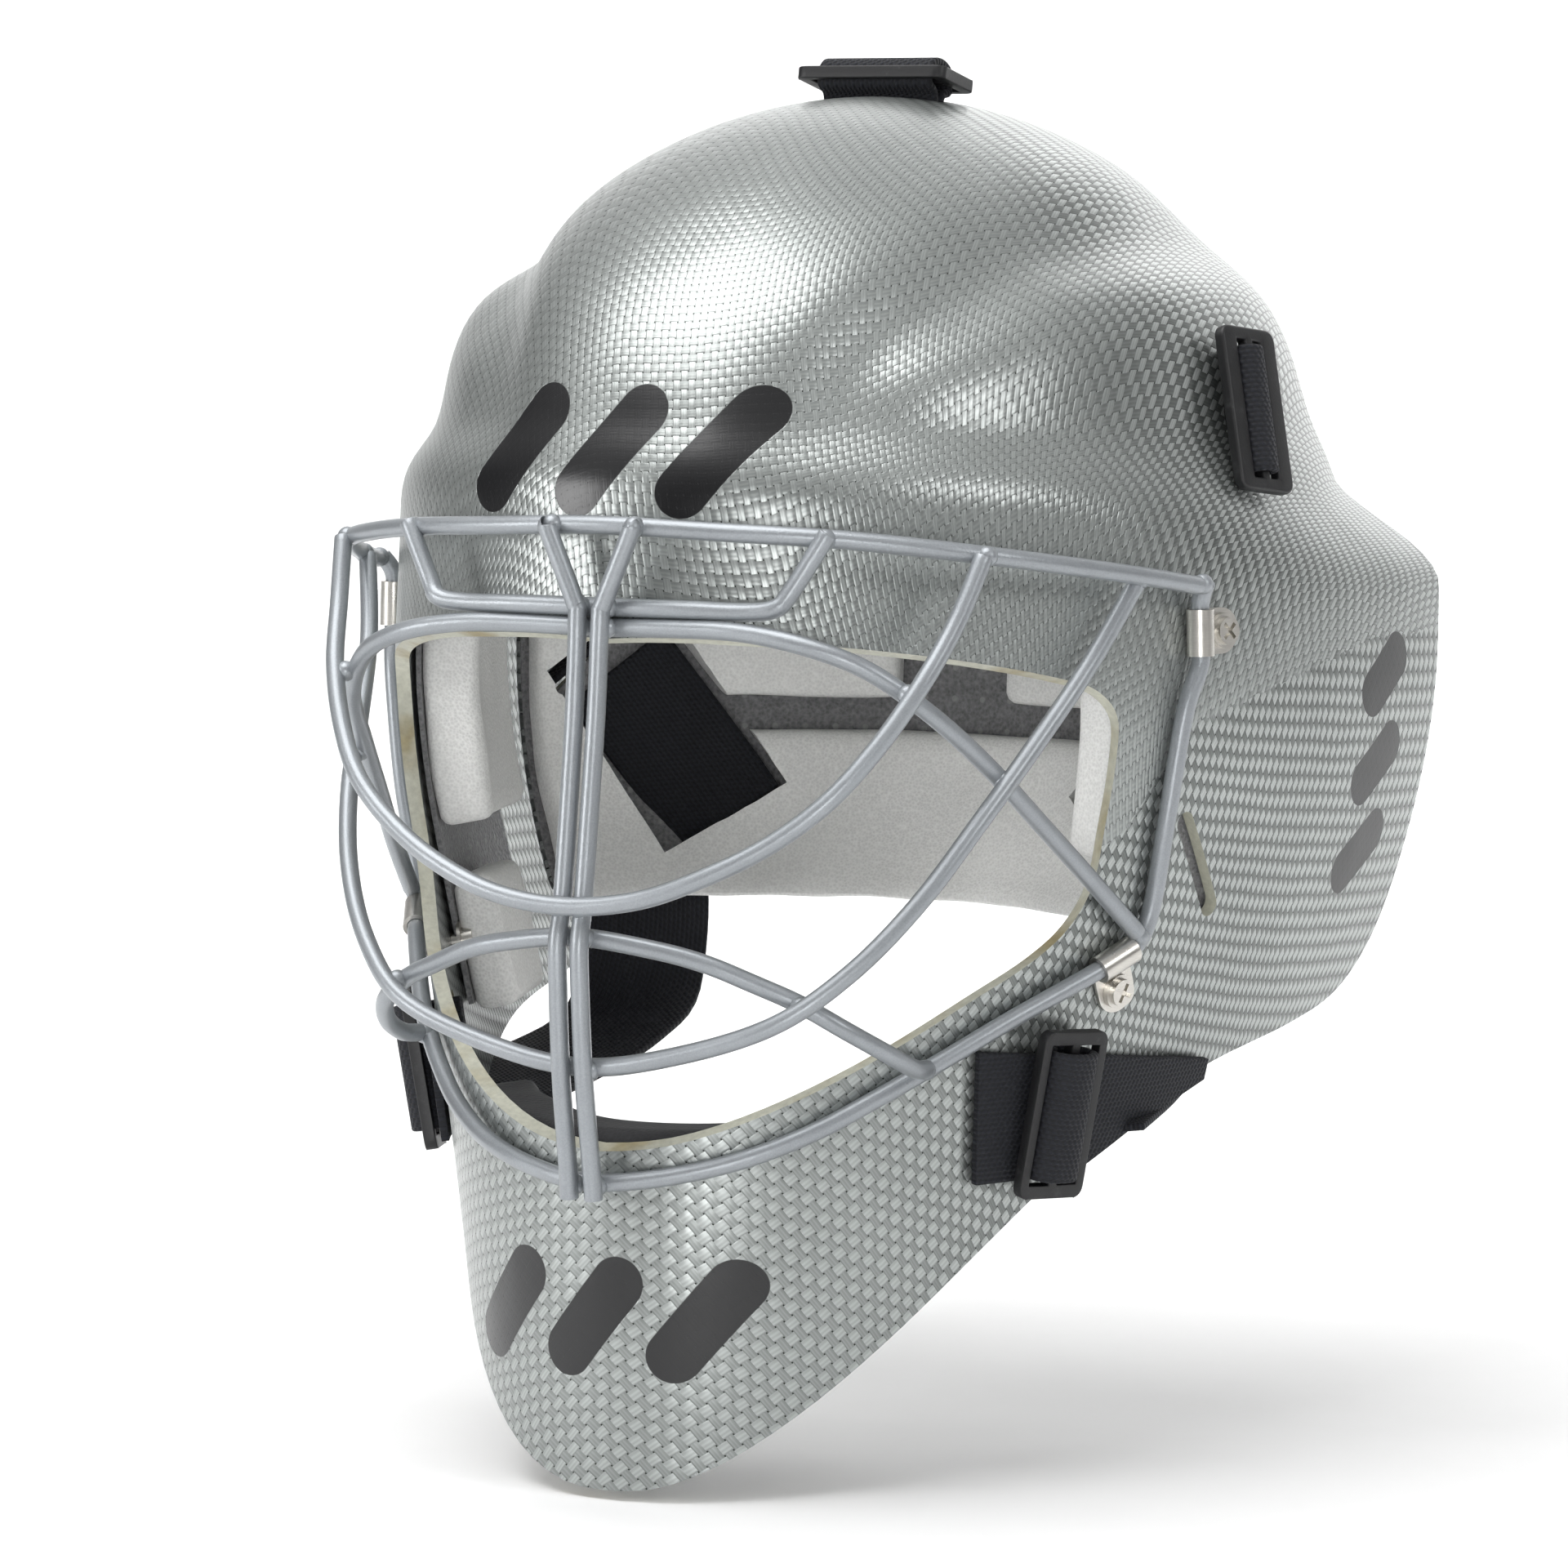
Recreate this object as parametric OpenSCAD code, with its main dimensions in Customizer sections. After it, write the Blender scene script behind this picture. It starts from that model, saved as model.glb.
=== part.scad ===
// Goalkeeper mask: a laminated front shell with a welded wire cage, foam padding
// and a padded back plate that hangs in the shell on five elastic straps.
// Frame: origin at the middle of the head space, front towards -Y, the wearer's left +X, +Z up.

/* [Front shell] */
// Half width of the dome over the ears
dome_half_width = 103; // [100:0.5:105]
// Distance from the dome's centre to the forehead
dome_front = 130; // [128:0.5:132]
// Height of the crown above the dome's centre
dome_height = 114; // [112:0.5:116]
// Half width of the flare behind the ears
flare_half_width = 115; // [113:0.5:117]
// Wall thickness of the laminate
shell_wall = 3.2; // [2.8:0.1:3.6]
chin_pad_inset = 6;     // from the shell's lower edge to the chin foam
// How far the creases beside the crest are pressed in
crease_depth = 4; // [1:0.5:5]

/* [Face opening and slots] */
// Length of a strap slot
slot_length = 32; // [31:0.5:34]
// Height of a strap slot
slot_height = 5; // [4.4:0.1:6]
// Length of the spare slots on the cheeks
spare_slot_length = 28; // [24:1:30]

/* [Cage] */
// Diameter of the cage wire
wire = 4; // [3.6:0.1:4.2]
// Length of a cage clip along its wire
clip_length = 10; // [8:0.5:11]
// Thickness of the clip's sheet
clip_sheet = 0.9; // [0.7:0.1:1.1]
// Diameter of a clip screw's shank
screw_shank = 4; // [3.5:0.1:4]
// Diameter of a clip screw's head
screw_head = 7.6; // [7:0.1:8]

/* [Straps] */
// Width of the elastic webbing
web_width = 29; // [27:0.5:29.5]
// Thickness of the elastic webbing
web = 1.8; // [1.5:0.1:2]
// Length of a slider across the webbing
slider_length = 37; // [36:0.5:38]
// Width of a slider along the webbing
slider_width = 18; // [17:0.5:19]
// Thickness of a slider
slider_thick = 2.8; // [2.4:0.1:3]

/* [Padding] */
// Thickness of the forehead and crown foam
brow_foam = 11; // [8:0.5:12]
// Thickness of the temple and cheek foam
side_foam = 13; // [10:0.5:14]
// Thickness of the back plate's foam
back_foam = 10; // [8:0.5:11]

/* [Back plate] */
// Radius of the back plate's foam face in plan
back_radius = 102; // [101:0.5:103]
// Wall thickness of the back plate
back_wall = 2.5; // [2:0.1:3]

/* [Hidden] */

dome_y = 10;            // the dome's centre, behind the origin
dome_z = 30;            // and above it
chin_z = -152;          // lowest point of the chin
flare_y = 63;           // where the flare is widest

function smooth(a, b, x) = let (t = min(1, max(0, (x - a) / (b - a)))) t * t * (3 - 2 * t);
function bump(x, mid, half) = let (t = (x - mid) / half) exp(-t * t);
function unit(v) = v / norm(v);
function flip(p) = [-p.x, p.y, p.z];
function flip_all(list) = [for (p = list) flip(p)];
function reversed(list) = [for (i = [len(list) - 1:-1:0]) list[i]];
// A half curve that starts on the middle plane, made whole
function whole(half) = concat(flip_all(reversed([for (i = [1:len(half) - 1]) half[i]])), half);

// ---- the shell's outer skin: th is the angle from the front, z the height ----

// Radius from the dome's axis to an ellipse a by b, whose centre lies c behind it
function plan_radius(th, a, b, c) =
    let (q = pow(sin(th) / a, 2) + pow(cos(th) / b, 2), k = cos(th) * c / (b * b))
    (-k + sqrt(k * k - q * (c * c / (b * b) - 1))) / q;

// The angle folded so that both sides of the skin are alike
function fold(th) = th > 180 ? 360 - th : abs(th);
function latitude(z) = asin(min(1, max(0, (z - dome_z) / dome_height)));
function crease_latitude(th) = 48 - 21 * pow(min(1, max(0, (92 - fold(th)) / 74)), 3);
function side_fade(th) = smooth(10, 28, fold(th)) * (1 - smooth(100, 150, fold(th)));

// How far the dome stands proud of its ellipsoid
function relief(th, lat) =
    side_fade(th) * (
        -crease_depth * bump(lat, crease_latitude(th), 7)
        - 3 * bump(lat, 22, 6)
        + 2 * bump(lat, 36, 7) * smooth(35, 55, fold(th)))
    + 2.5 * bump(fold(th), 0, 30) * bump(lat, 38, 16);

function skin(th, z) =
    let (
        lat = latitude(z),
        dome = plan_radius(th, dome_half_width, dome_front, 0) * cos(lat) + relief(th, lat) * cos(lat),
        half = flare_half_width - 55 * smooth(20, -190, z),
        mid_y = flare_y - 95 * smooth(-20, -190, z),
        front_y = -122 + 5 * smooth(10, 60, z) + 2 * smooth(-110, -165, z),
        body = plan_radius(th, half, mid_y - front_y, mid_y - dome_y),
        step_z = 66 - 18 * smooth(28, 100, fold(th)),
        mix = smooth(step_z - 14, step_z + 10, z),
        r = body + (dome - body) * mix
    )
    [r * sin(th), dome_y - r * cos(th), z + relief(th, lat) * sin(lat) * mix];

function skin_across(th, z) = unit(skin(th + 0.5, z) - skin(th - 0.5, z));
function skin_up(th, z) = unit(skin(th, z + 0.5) - skin(th, z - 0.5));
function skin_normal(th, z) =
    z > dome_z + dome_height - 1 ? [0, 0, 1] : unit(cross(skin_across(th, z), skin_up(th, z)));
function inside(th, z, depth) = skin(th, z) - skin_normal(th, z) * depth;

// Puts its children on the skin, their +Z along its normal and their +Y up it
module on_skin(th, z, lift = 0, turn = 0) {
    n = skin_normal(th, z);
    x = skin_across(th, z);
    y = cross(n, x);
    p = skin(th, z) + n * lift;
    multmatrix([
        [x.x, y.x, n.x, p.x],
        [x.y, y.y, n.y, p.y],
        [x.z, y.z, n.z, p.z],
        [0, 0, 0, 1]
    ]) rotate(turn) children();
}

// ---- general solids ----

// A closed solid between two grids of points with the same rows and columns
module slab(outer, inner) {
    rows = len(outer);
    cols = len(outer[0]);
    count = rows * cols;
    points = concat([for (row = outer) each row], [for (row = inner) each row]);
    function id(side, i, j) = side * count + i * cols + j;
    faces = concat(
        [for (i = [0:rows - 2], j = [0:cols - 2]) each [
            [id(0, i, j), id(0, i + 1, j), id(0, i + 1, j + 1)],
            [id(0, i, j), id(0, i + 1, j + 1), id(0, i, j + 1)],
            [id(1, i, j), id(1, i + 1, j + 1), id(1, i + 1, j)],
            [id(1, i, j), id(1, i, j + 1), id(1, i + 1, j + 1)]]],
        [for (i = [0:rows - 2]) each [
            [id(0, i, 0), id(1, i, 0), id(1, i + 1, 0)],
            [id(0, i, 0), id(1, i + 1, 0), id(0, i + 1, 0)],
            [id(0, i, cols - 1), id(1, i + 1, cols - 1), id(1, i, cols - 1)],
            [id(0, i, cols - 1), id(0, i + 1, cols - 1), id(1, i + 1, cols - 1)]]],
        [for (j = [0:cols - 2]) each [
            [id(0, 0, j), id(1, 0, j + 1), id(1, 0, j)],
            [id(0, 0, j), id(0, 0, j + 1), id(1, 0, j + 1)],
            [id(0, rows - 1, j), id(1, rows - 1, j), id(1, rows - 1, j + 1)],
            [id(0, rows - 1, j), id(1, rows - 1, j + 1), id(0, rows - 1, j + 1)]]]
    );
    polyhedron(points, faces, convexity = 8);
}

// A pad on the inside of the shell, its edges thinned so that they look rounded
module lining_patch(th0, th1, z0, z1, from, thick, step = 6) {
    cols = max(3, ceil(abs(th1 - th0) / step));
    rows = max(3, ceil((z1 - z0) / 8));
    function th(j) = th0 + (th1 - th0) * j / cols;
    function z(i) = z0 + (z1 - z0) * i / rows;
    function depth(i, j) = from + thick * ((i == 0 || i == rows || j == 0 || j == cols) ? 0.7 : 1);
    slab(
        [for (i = [0:rows]) [for (j = [0:cols]) inside(th(j), z(i), from)]],
        [for (i = [0:rows]) [for (j = [0:cols]) inside(th(j), z(i), depth(i, j))]]
    );
}

// A smooth curve through points, n steps from each point to the next
function curve(p, n) = concat(
    [for (i = [0:len(p) - 2], k = [0:n - 1])
        let (
            t = k / n,
            a = p[max(0, i - 1)],
            b = p[i],
            c = p[i + 1],
            d = p[min(len(p) - 1, i + 2)]
        )
        b + 0.5 * t * ((c - a) + t * ((2 * a - 5 * b + 4 * c - d) + t * (3 * (b - c) + d - a)))],
    [p[len(p) - 1]]
);

function tangent(p, i) = unit(p[min(len(p) - 1, i + 1)] - p[max(0, i - 1)]);
// Side vectors carried along a path without twist
function carried(p, i = 0, last = [0, 0, 0], out = []) =
    i == len(p) ? out :
    let (
        t = tangent(p, i),
        guess = i == 0 ? (abs(t.z) < 0.8 ? [0, 0, 1] : [0, 1, 0]) : last,
        side = unit(guess - t * (guess * t))
    )
    carried(p, i + 1, side, concat(out, [side]));

module closed_sweep(rings) {
    n = len(rings[0]);
    last = (len(rings) - 1) * n;
    polyhedron(
        [for (ring = rings) each ring],
        concat(
            [[for (k = [n - 1:-1:0]) k]],
            [for (i = [0:len(rings) - 2], k = [0:n - 1])
                let (a = i * n + k, b = i * n + (k + 1) % n) each [[a, b, b + n], [a, b + n, a + n]]],
            [[for (k = [0:n - 1]) last + k]]
        ),
        convexity = 8
    );
}

module wire_along(path, sides = 8) {
    side = carried(path);
    closed_sweep([
        for (i = [0:len(path) - 1])
            let (t = tangent(path, i), u = side[i], v = cross(u, t))
            [for (k = [0:sides - 1])
                path[i] + (u * cos(k * 360 / sides) + v * sin(k * 360 / sides)) * wire / 2]
    ]);
}

// Flat webbing along a path; across[i] points along its width at the path's point i
module ribbon(path, across, width, thick) {
    closed_sweep([
        for (i = [0:len(path) - 1])
            let (
                t = tangent(path, i),
                w = unit(across[i] - t * (across[i] * t)),
                n = cross(t, w)
            )
            [for (c = [[-1, -1], [-1, 1], [1, 1], [1, -1]])
                path[i] + w * c[0] * width / 2 + n * c[1] * thick / 2]
    ]);
}

module round_bar(length, width, height) {
    linear_extrude(height, center = true) {
        square([length - width, width], center = true);
        for (side = [-1, 1]) translate([side * (length - width) / 2, 0]) circle(d = width, $fn = 24);
    }
}

module round_plate(length, width, r, height) {
    linear_extrude(height, center = true) {
        square([length - 2 * r, width], center = true);
        square([length, width - 2 * r], center = true);
        for (x = [-1, 1], y = [-1, 1])
            translate([x * (length / 2 - r), y * (width / 2 - r)]) circle(r, $fn = 24);
    }
}

// ---- places on the skin that the sub-parts share: [angle, height, turn, tilt] ----

upper_slider = [83, 75, 80, -10];
lower_slider = [47, -72, 86, 0];
spare_slot = [69, -22, 122, 0];
upper_clip = [65, 29, 0];
lower_clip = [55, -40, -66];
crown_slider = [0, 14, 146.4];    // a point, since the crown has no angle
crown_tilt = -12;

// ---- the front shell ----

shell_rows = concat(
    [for (z = [-164:8:-20]) z],
    [for (z = [-13:7:29]) z],
    [for (lat = [2:4:82]) dome_z + dome_height * sin(lat)]
);
shell_step = 7.5;

// Side outline of the part that is kept: rear edge, lower edge and chin
side_outline = [
    [-200, chin_z], [-121, chin_z], [-116, -147], [-105, -136], [-88, -120], [-68, -102], [-50, -88],
    [-28, -76], [-4, -68], [28, -63], [46, -59], [56, -52], [61, -41], [63, -20], [65, 10], [66, 30],
    [65, 45], [63, 60], [61, 90], [57, 115], [49, 132], [42, 160], [-200, 160]
];

// Half outline of the face opening as [angle, height], from the brow to the mouth
opening = [
    [0, 30], [14, 30], [26, 28], [36, 25], [46, 21], [51, 18], [54, 12], [54, 2], [53, -12],
    [52, -24], [49, -33], [44, -40], [36, -48], [25, -60], [15, -70], [7, -76], [0, -78]
];

module skin_solid() {
    cols = 360 / shell_step;
    rows = len(shell_rows);
    count = rows * cols;
    points = concat(
        [for (z = shell_rows, j = [0:cols - 1]) skin(j * shell_step, z)],
        [for (z = shell_rows, j = [0:cols - 1]) inside(j * shell_step, z, shell_wall)],
        [skin(0, dome_z + dome_height), inside(0, dome_z + dome_height, shell_wall)]
    );
    function id(side, i, j) = side * count + i * cols + j % cols;
    faces = concat(
        [for (i = [0:rows - 2], j = [0:cols / 2 - 1]) each [
            [id(0, i, j), id(0, i + 1, j), id(0, i + 1, j + 1)],
            [id(0, i, j), id(0, i + 1, j + 1), id(0, i, j + 1)],
            [id(1, i, j), id(1, i + 1, j + 1), id(1, i + 1, j)],
            [id(1, i, j), id(1, i, j + 1), id(1, i + 1, j + 1)]]],
        // the other half is split along the mirrored diagonal, so that both sides match
        [for (i = [0:rows - 2], j = [cols / 2:cols - 1]) each [
            [id(0, i, j), id(0, i + 1, j), id(0, i, j + 1)],
            [id(0, i + 1, j), id(0, i + 1, j + 1), id(0, i, j + 1)],
            [id(1, i, j), id(1, i, j + 1), id(1, i + 1, j)],
            [id(1, i + 1, j), id(1, i, j + 1), id(1, i + 1, j + 1)]]],
        [for (j = [0:cols - 1]) each [
            [id(0, 0, j), id(0, 0, j + 1), id(1, 0, j + 1)],
            [id(0, 0, j), id(1, 0, j + 1), id(1, 0, j)],
            [id(0, rows - 1, j), 2 * count, id(0, rows - 1, j + 1)],
            [id(1, rows - 1, j), id(1, rows - 1, j + 1), 2 * count + 1]]]
    );
    polyhedron(points, faces, convexity = 10);
}

// A cone from the head's middle through the outline of the face opening
module opening_cutter() {
    half = [for (o = opening) skin(o[0], o[1])];
    rim = concat(half, flip_all([for (i = [len(half) - 2:-1:1]) half[i]]));
    eye = [0, dome_y, -20];
    n = len(rim);
    function ring(k) = [for (p = rim) eye + (p - eye) * k];
    closed_sweep([ring(0.8), ring(1.2)]);
}

module slot_cutter(length, height) {
    round_bar(length, height, 24);
}

module on_crown() {
    translate([crown_slider.x, crown_slider.y, crown_slider.z]) rotate([crown_tilt, 0, 0]) children();
}

module both_sides() {
    children();
    mirror([1, 0, 0]) children();
}

module at_slider(place, lift) {
    on_skin(place[0], place[1], lift, place[2]) rotate([place[3], 0, 0]) children();
}

clip_reach = 8.5;       // from the wire's axis to the screw's axis
wire_lift = wire / 2 + clip_sheet + 0.2;

module clip_frame(place) {
    on_skin(place[0], place[1], 0, place[2]) children();
}

// A point on the axis of the wire that a clip holds, s along it from the clip's middle
function clip_axis(place, s) =
    let (
        n = skin_normal(place[0], place[1]),
        x = skin_across(place[0], place[1]),
        along = cross(n, x) * cos(place[2]) - x * sin(place[2])
    )
    skin(place[0], place[1]) + n * wire_lift + along * s;

// What lies inside the shell's rear and lower edges by an inset
module within_outline(inset = 0) {
    rotate([90, 0, 90]) linear_extrude(300, center = true) offset(delta = -inset) polygon(side_outline);
}

module front_shell() {
    color("silver") difference() {
        intersection() {
            skin_solid();
            within_outline();
        }
        opening_cutter();
        on_crown() slot_cutter(slot_length, slot_height);
        both_sides() {
            at_slider(upper_slider, 0) slot_cutter(slot_length, slot_height);
            at_slider(lower_slider, 0) slot_cutter(slot_length, slot_height);
            at_slider(spare_slot, 0) slot_cutter(spare_slot_length, slot_height);
        }
        each_clip() translate([clip_reach, 0, 0])
            cylinder(d = screw_shank + 0.2, h = 30, center = true, $fn = 32);
    }
}

// ---- the foam padding and its loop lining ----

module forehead_pad() {
    color("white") lining_patch(-44, 44, 41, 92, shell_wall + 2.3, brow_foam - 2, 4);
}

module crown_pad() {
    color("white") difference() {
        crown_cap(shell_wall + 1, brow_foam);
        translate([-100, 2, 0]) cube([200, 200, 200]);
    }
}

module crown_cap(from, thick) {
    levels = [116, 128, 136, 141.5];
    step = 20;
    cols = 360 / step;
    n = len(levels) * cols;
    top = dome_z + dome_height;
    polyhedron(
        concat(
            [for (z = levels, j = [0:cols - 1]) inside(j * step, z, from)],
            [for (z = levels, j = [0:cols - 1]) inside(j * step, z, from + thick)],
            [inside(0, top, from), inside(0, top, from + thick)]
        ),
        concat(
            [for (i = [0:len(levels) - 2], j = [0:cols - 1])
                let (a = i * cols + j, b = i * cols + (j + 1) % cols) each [
                    [a, a + cols, b + cols], [a, b + cols, b],
                    [n + a, n + b + cols, n + a + cols], [n + a, n + b, n + b + cols]]],
            [for (j = [0:cols - 1])
                let (k = (j + 1) % cols, a = n - cols) each [
                    [j, k, n + k], [j, n + k, n + j],
                    [a + j, 2 * n, a + k], [n + a + j, n + a + k, 2 * n + 1]]]
        )
    );
}

// Room for a nut behind the shell; the right-hand pads are mirrored, so one side is enough
module nut_pocket(place) {
    clip_frame(place) translate([clip_reach, 0, 0]) cylinder(d = 11, h = 19, center = true, $fn = 32);
}

module temple_pad() {
    difference() {
        lining_patch(56, 80, -22, 34, shell_wall + 2.3, side_foam);
        nut_pocket(upper_clip);
    }
}
module cheek_pad() {
    difference() {
        lining_patch(56, 76, -64, -34, shell_wall + 2.3, side_foam - 3);
        nut_pocket(lower_clip);
    }
}
module lining() {
    difference() {
        lining_patch(56, 90, -62, 36, shell_wall + 0.9, 1.2);
        nut_pocket(upper_clip);
        nut_pocket(lower_clip);
        at_slider(spare_slot, 0) slot_cutter(spare_slot_length, slot_height);
    }
}

module temple_pad_left() { color("white") temple_pad(); }
module temple_pad_right() { color("white") mirror([1, 0, 0]) temple_pad(); }
module cheek_pad_left() { color("white") cheek_pad(); }
module cheek_pad_right() { color("white") mirror([1, 0, 0]) cheek_pad(); }
module lining_left() { color("dimgray") lining(); }
module lining_right() { color("dimgray") mirror([1, 0, 0]) lining(); }

module chin_pad() {
    color("#202022") intersection() {
        lining_patch(-34, 34, -128, -74, shell_wall + 1.2, 16, 4);
        within_outline(chin_pad_inset);
    }
}

// ---- the cage: half curves start on the middle plane and run to the +X side ----

top_bar_half = [[0, -122.5, 54], [28, -119.5, 53], [53, -110.5, 51.5], [77, -93, 48], [94, -62, 43],
    [101.5, -41, 39.5]];
hoop_half = [[0, -126, -84], [15, -122.5, -82.5], [30, -116, -78.8], [42.7, -107, -73.2],
    [53.4, -96.8, -66.2], [63.6, -85.1, -58.7], [72.4, -72.8, -51.7], clip_axis(lower_clip, -5),
    clip_axis(lower_clip, 5), [91, -41.6, -31], [94.6, -41.9, -12], [98, -40, 12],
    clip_axis(upper_clip, -6), clip_axis(upper_clip, 6), [102, -38, 40]];
brow_loop_half = [[0, -121.5, 36.8], [20, -121, 36.8], [33, -119.5, 36.6], [40, -119, 37.5], [43, -117.5, 41],
    [50, -114.5, 53]];
eye_wire_half = [[0, -121.5, 32.6], [20, -121.5, 32.8], [34, -121.5, 32.4], [48, -120.5, 30],
    [60, -115.5, 25], [70, -105, 15], [76, -90, 3], [81, -75, -10], [85.9, -60.3, -23],
    [89.9, -46.2, -35]];
upper_bow_half = [[0, -137, -24.5], [17, -136.5, -22.5], [32, -134.5, -17], [45, -130.5, -10], [56, -126, -1],
    [64, -119.5, 10], [70, -112, 22], [74, -103.5, 34.5], [77, -96.5, 48]];
lower_bow_half = [[0, -130.5, -59], [22, -130, -55.5], [44, -127.5, -48], [58, -119.5, -37],
    [68.5, -109, -23], [76, -96.5, -7.5], [82, -81.5, 8], [88, -67.5, 24], [94.5, -57, 41.5]];
mouth_loop_half = [[0, -131.5, -31.5], [17, -129.5, -33.5], [28, -127.5, -36], [38, -124.5, -40],
    [47, -121.5, -44], [55, -116.5, -49.5], [60.5, -107, -55.5], [62, -98, -59.5],
    [61.5, -91.5, -60.5]];
centre_bar_path = [[10, -125.5, 54], [9.4, -125.5, 52], [3.4, -125.6, 38], [2.7, -125.8, 35],
    [2.6, -127.5, 15], [2.5, -131, -10], [2.5, -133.3, -25], [2.6, -135, -32], [2.6, -135, -40],
    [2.7, -133.6, -60], [2.8, -130.6, -80], [2.9, -129.8, -87]];

module cage_top_bar() { color("lightgray") wire_along(curve(whole(top_bar_half), 2)); }
module cage_hoop() { color("lightgray") wire_along(curve(whole(hoop_half), 2)); }
module cage_brow_loop() { color("lightgray") wire_along(curve(whole(brow_loop_half), 2)); }
module cage_eye_wire() { color("lightgray") wire_along(curve(whole(eye_wire_half), 2)); }
module cage_upper_bow() { color("lightgray") wire_along(curve(whole(upper_bow_half), 2)); }
module cage_lower_bow() { color("lightgray") wire_along(curve(whole(lower_bow_half), 2)); }
module cage_mouth_loop() { color("lightgray") wire_along(curve(whole(mouth_loop_half), 2)); }
module cage_centre_bar_left() { color("lightgray") wire_along(curve(centre_bar_path, 1)); }
module cage_centre_bar_right() { color("lightgray") mirror([1, 0, 0]) wire_along(curve(centre_bar_path, 1)); }

// ---- clips, screws and nuts: the wire runs along Y over the skin, the screw stands on X ----

module clip() {
    inner = wire / 2 + 0.1;
    tab_end = clip_reach + screw_head / 2;
    rotate([90, 0, 0]) translate([0, wire_lift, 0]) rotate_extrude($fn = 40)
        translate([inner, -clip_length / 2]) square([clip_sheet, clip_length]);
    translate([0, 0, 0.15 + clip_sheet / 2]) difference() {
        union() {
            translate([clip_reach / 2, 0, 0]) cube([clip_reach, clip_length, clip_sheet], center = true);
            translate([clip_reach, 0, 0]) cylinder(d = clip_length, h = clip_sheet, center = true, $fn = 40);
        }
        translate([clip_reach, 0, 0])
            cylinder(d = screw_shank + 0.2, h = 3, center = true, $fn = 32);
    }
}

screw_reach = 7.5;      // how far the shank goes in below the skin

module clip_screw() {
    seat = 0.15 + clip_sheet + 0.05;
    head = 2.4;
    translate([clip_reach, 0, 0]) difference() {
        union() {
            translate([0, 0, seat]) cylinder(d = screw_head, h = head * 0.5, $fn = 40);
            translate([0, 0, seat + head * 0.5]) cylinder(d = screw_head - 1.6, h = head * 0.5, $fn = 40);
            translate([0, 0, -screw_reach]) cylinder(d = screw_shank, h = screw_reach + seat + 0.1, $fn = 32);
        }
        for (a = [0, 90]) rotate(a + 45) translate([0, 0, seat + head])
            cube([4.4, 0.9, 2.4], center = true);
    }
}

module clip_nut() {
    translate([clip_reach, 0, -shell_wall - 2.6]) difference() {
        union() {
            cylinder(d = 9, h = 0.8, $fn = 32);
            translate([0, 0, -2.4]) cylinder(d = 6, h = 2.5, $fn = 32);
        }
        translate([0, 0, -5]) cylinder(d = screw_shank, h = 8, $fn = 32);
    }
}

module each_clip() {
    both_sides() {
        clip_frame(upper_clip) children();
        clip_frame(lower_clip) children();
    }
}

module cage_clips() { color("gainsboro") each_clip() clip(); }
module clip_screws() { color("gainsboro") each_clip() clip_screw(); }
module clip_nuts() { color("gray") each_clip() clip_nut(); }

// ---- sliders and the webbing loops in them: the webbing runs along Y ----

slider_bar = 3.4;
slider_rim = 2.2;
web_room = slider_length - 2 * 3;
window = (slider_width - slider_bar - 2 * slider_rim) / 2;
slider_lift = 6;      // middle of the slider above the skin

module slider() {
    difference() {
        round_plate(slider_length, slider_width, 2.4, slider_thick);
        for (side = [-1, 1]) translate([0, side * (slider_bar + window) / 2, 0])
            cube([web_room, window, slider_thick + 2], center = true);
    }
}

// The webbing comes up through one window, over the bar and down through the other
module web_loop(depth) {
    reach = slider_bar / 2 + web / 2 + 0.3;
    top = slider_thick / 2 + web / 2 + 0.3;
    path = [[0, -reach, -depth], [0, -reach, 0], [0, -reach * 0.8, top * 0.85], [0, 0, top],
        [0, reach * 0.8, top * 0.85], [0, reach, 0], [0, reach, -depth]];
    ribbon(path, [for (p = path) [1, 0, 0]], web_width - 0.6, web);
}

loop_depth = 3;

module slider_top() { color("#1c1c1e") on_crown() translate([0, 0, slider_thick / 2]) slider(); }
module slider_upper_left() { color("#1c1c1e") at_slider(upper_slider, slider_lift) slider(); }
module slider_upper_right() { mirror([1, 0, 0]) slider_upper_left(); }
module slider_lower_left() { color("#1c1c1e") at_slider(lower_slider, slider_lift) slider(); }
module slider_lower_right() { mirror([1, 0, 0]) slider_lower_left(); }

module web_loop_top() {
    color("#101218") on_crown() translate([0, 0, slider_thick / 2]) web_loop(loop_depth);
}
module web_loop_upper_left() {
    color("#101218") at_slider(upper_slider, slider_lift) web_loop(loop_depth - 0.8);
}
module web_loop_upper_right() { mirror([1, 0, 0]) web_loop_upper_left(); }
module web_loop_lower_left() {
    color("#101218") at_slider(lower_slider, slider_lift) web_loop(loop_depth - 1.5);
}
module web_loop_lower_right() { mirror([1, 0, 0]) web_loop_lower_left(); }

// ---- the back plate: a shallow bowl facing forwards ----

back_y = -52;           // middle of the bowl in plan
back_z = 15;
back_rise = 90;         // its half height if it were whole

function bowl_radius(z, grow) = (back_radius + grow) * sqrt(1 - pow((z - back_z) / (back_rise + grow), 2));
function bowl(phi, z, grow) = let (r = bowl_radius(z, grow)) [r * sin(phi) * 0.98, back_y + r * cos(phi), z];

module bowl_patch(phi0, phi1, z0, z1, grow0, grow1, step = 8) {
    cols = max(3, ceil(abs(phi1 - phi0) / step));
    rows = max(3, ceil((z1 - z0) / 9));
    function phi(j) = phi0 + (phi1 - phi0) * j / cols;
    function z(i) = z0 + (z1 - z0) * i / rows;
    slab(
        [for (i = [0:rows]) [for (j = [cols:-1:0]) bowl(phi(j), z(i), grow1)]],
        [for (i = [0:rows]) [for (j = [cols:-1:0]) bowl(phi(j), z(i), grow0)]]
    );
}

lining_thick = 1.4;
plate_from = back_foam + lining_thick;

plate_half_angle = 57;
foam_thick = back_foam - 0.7;
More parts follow.
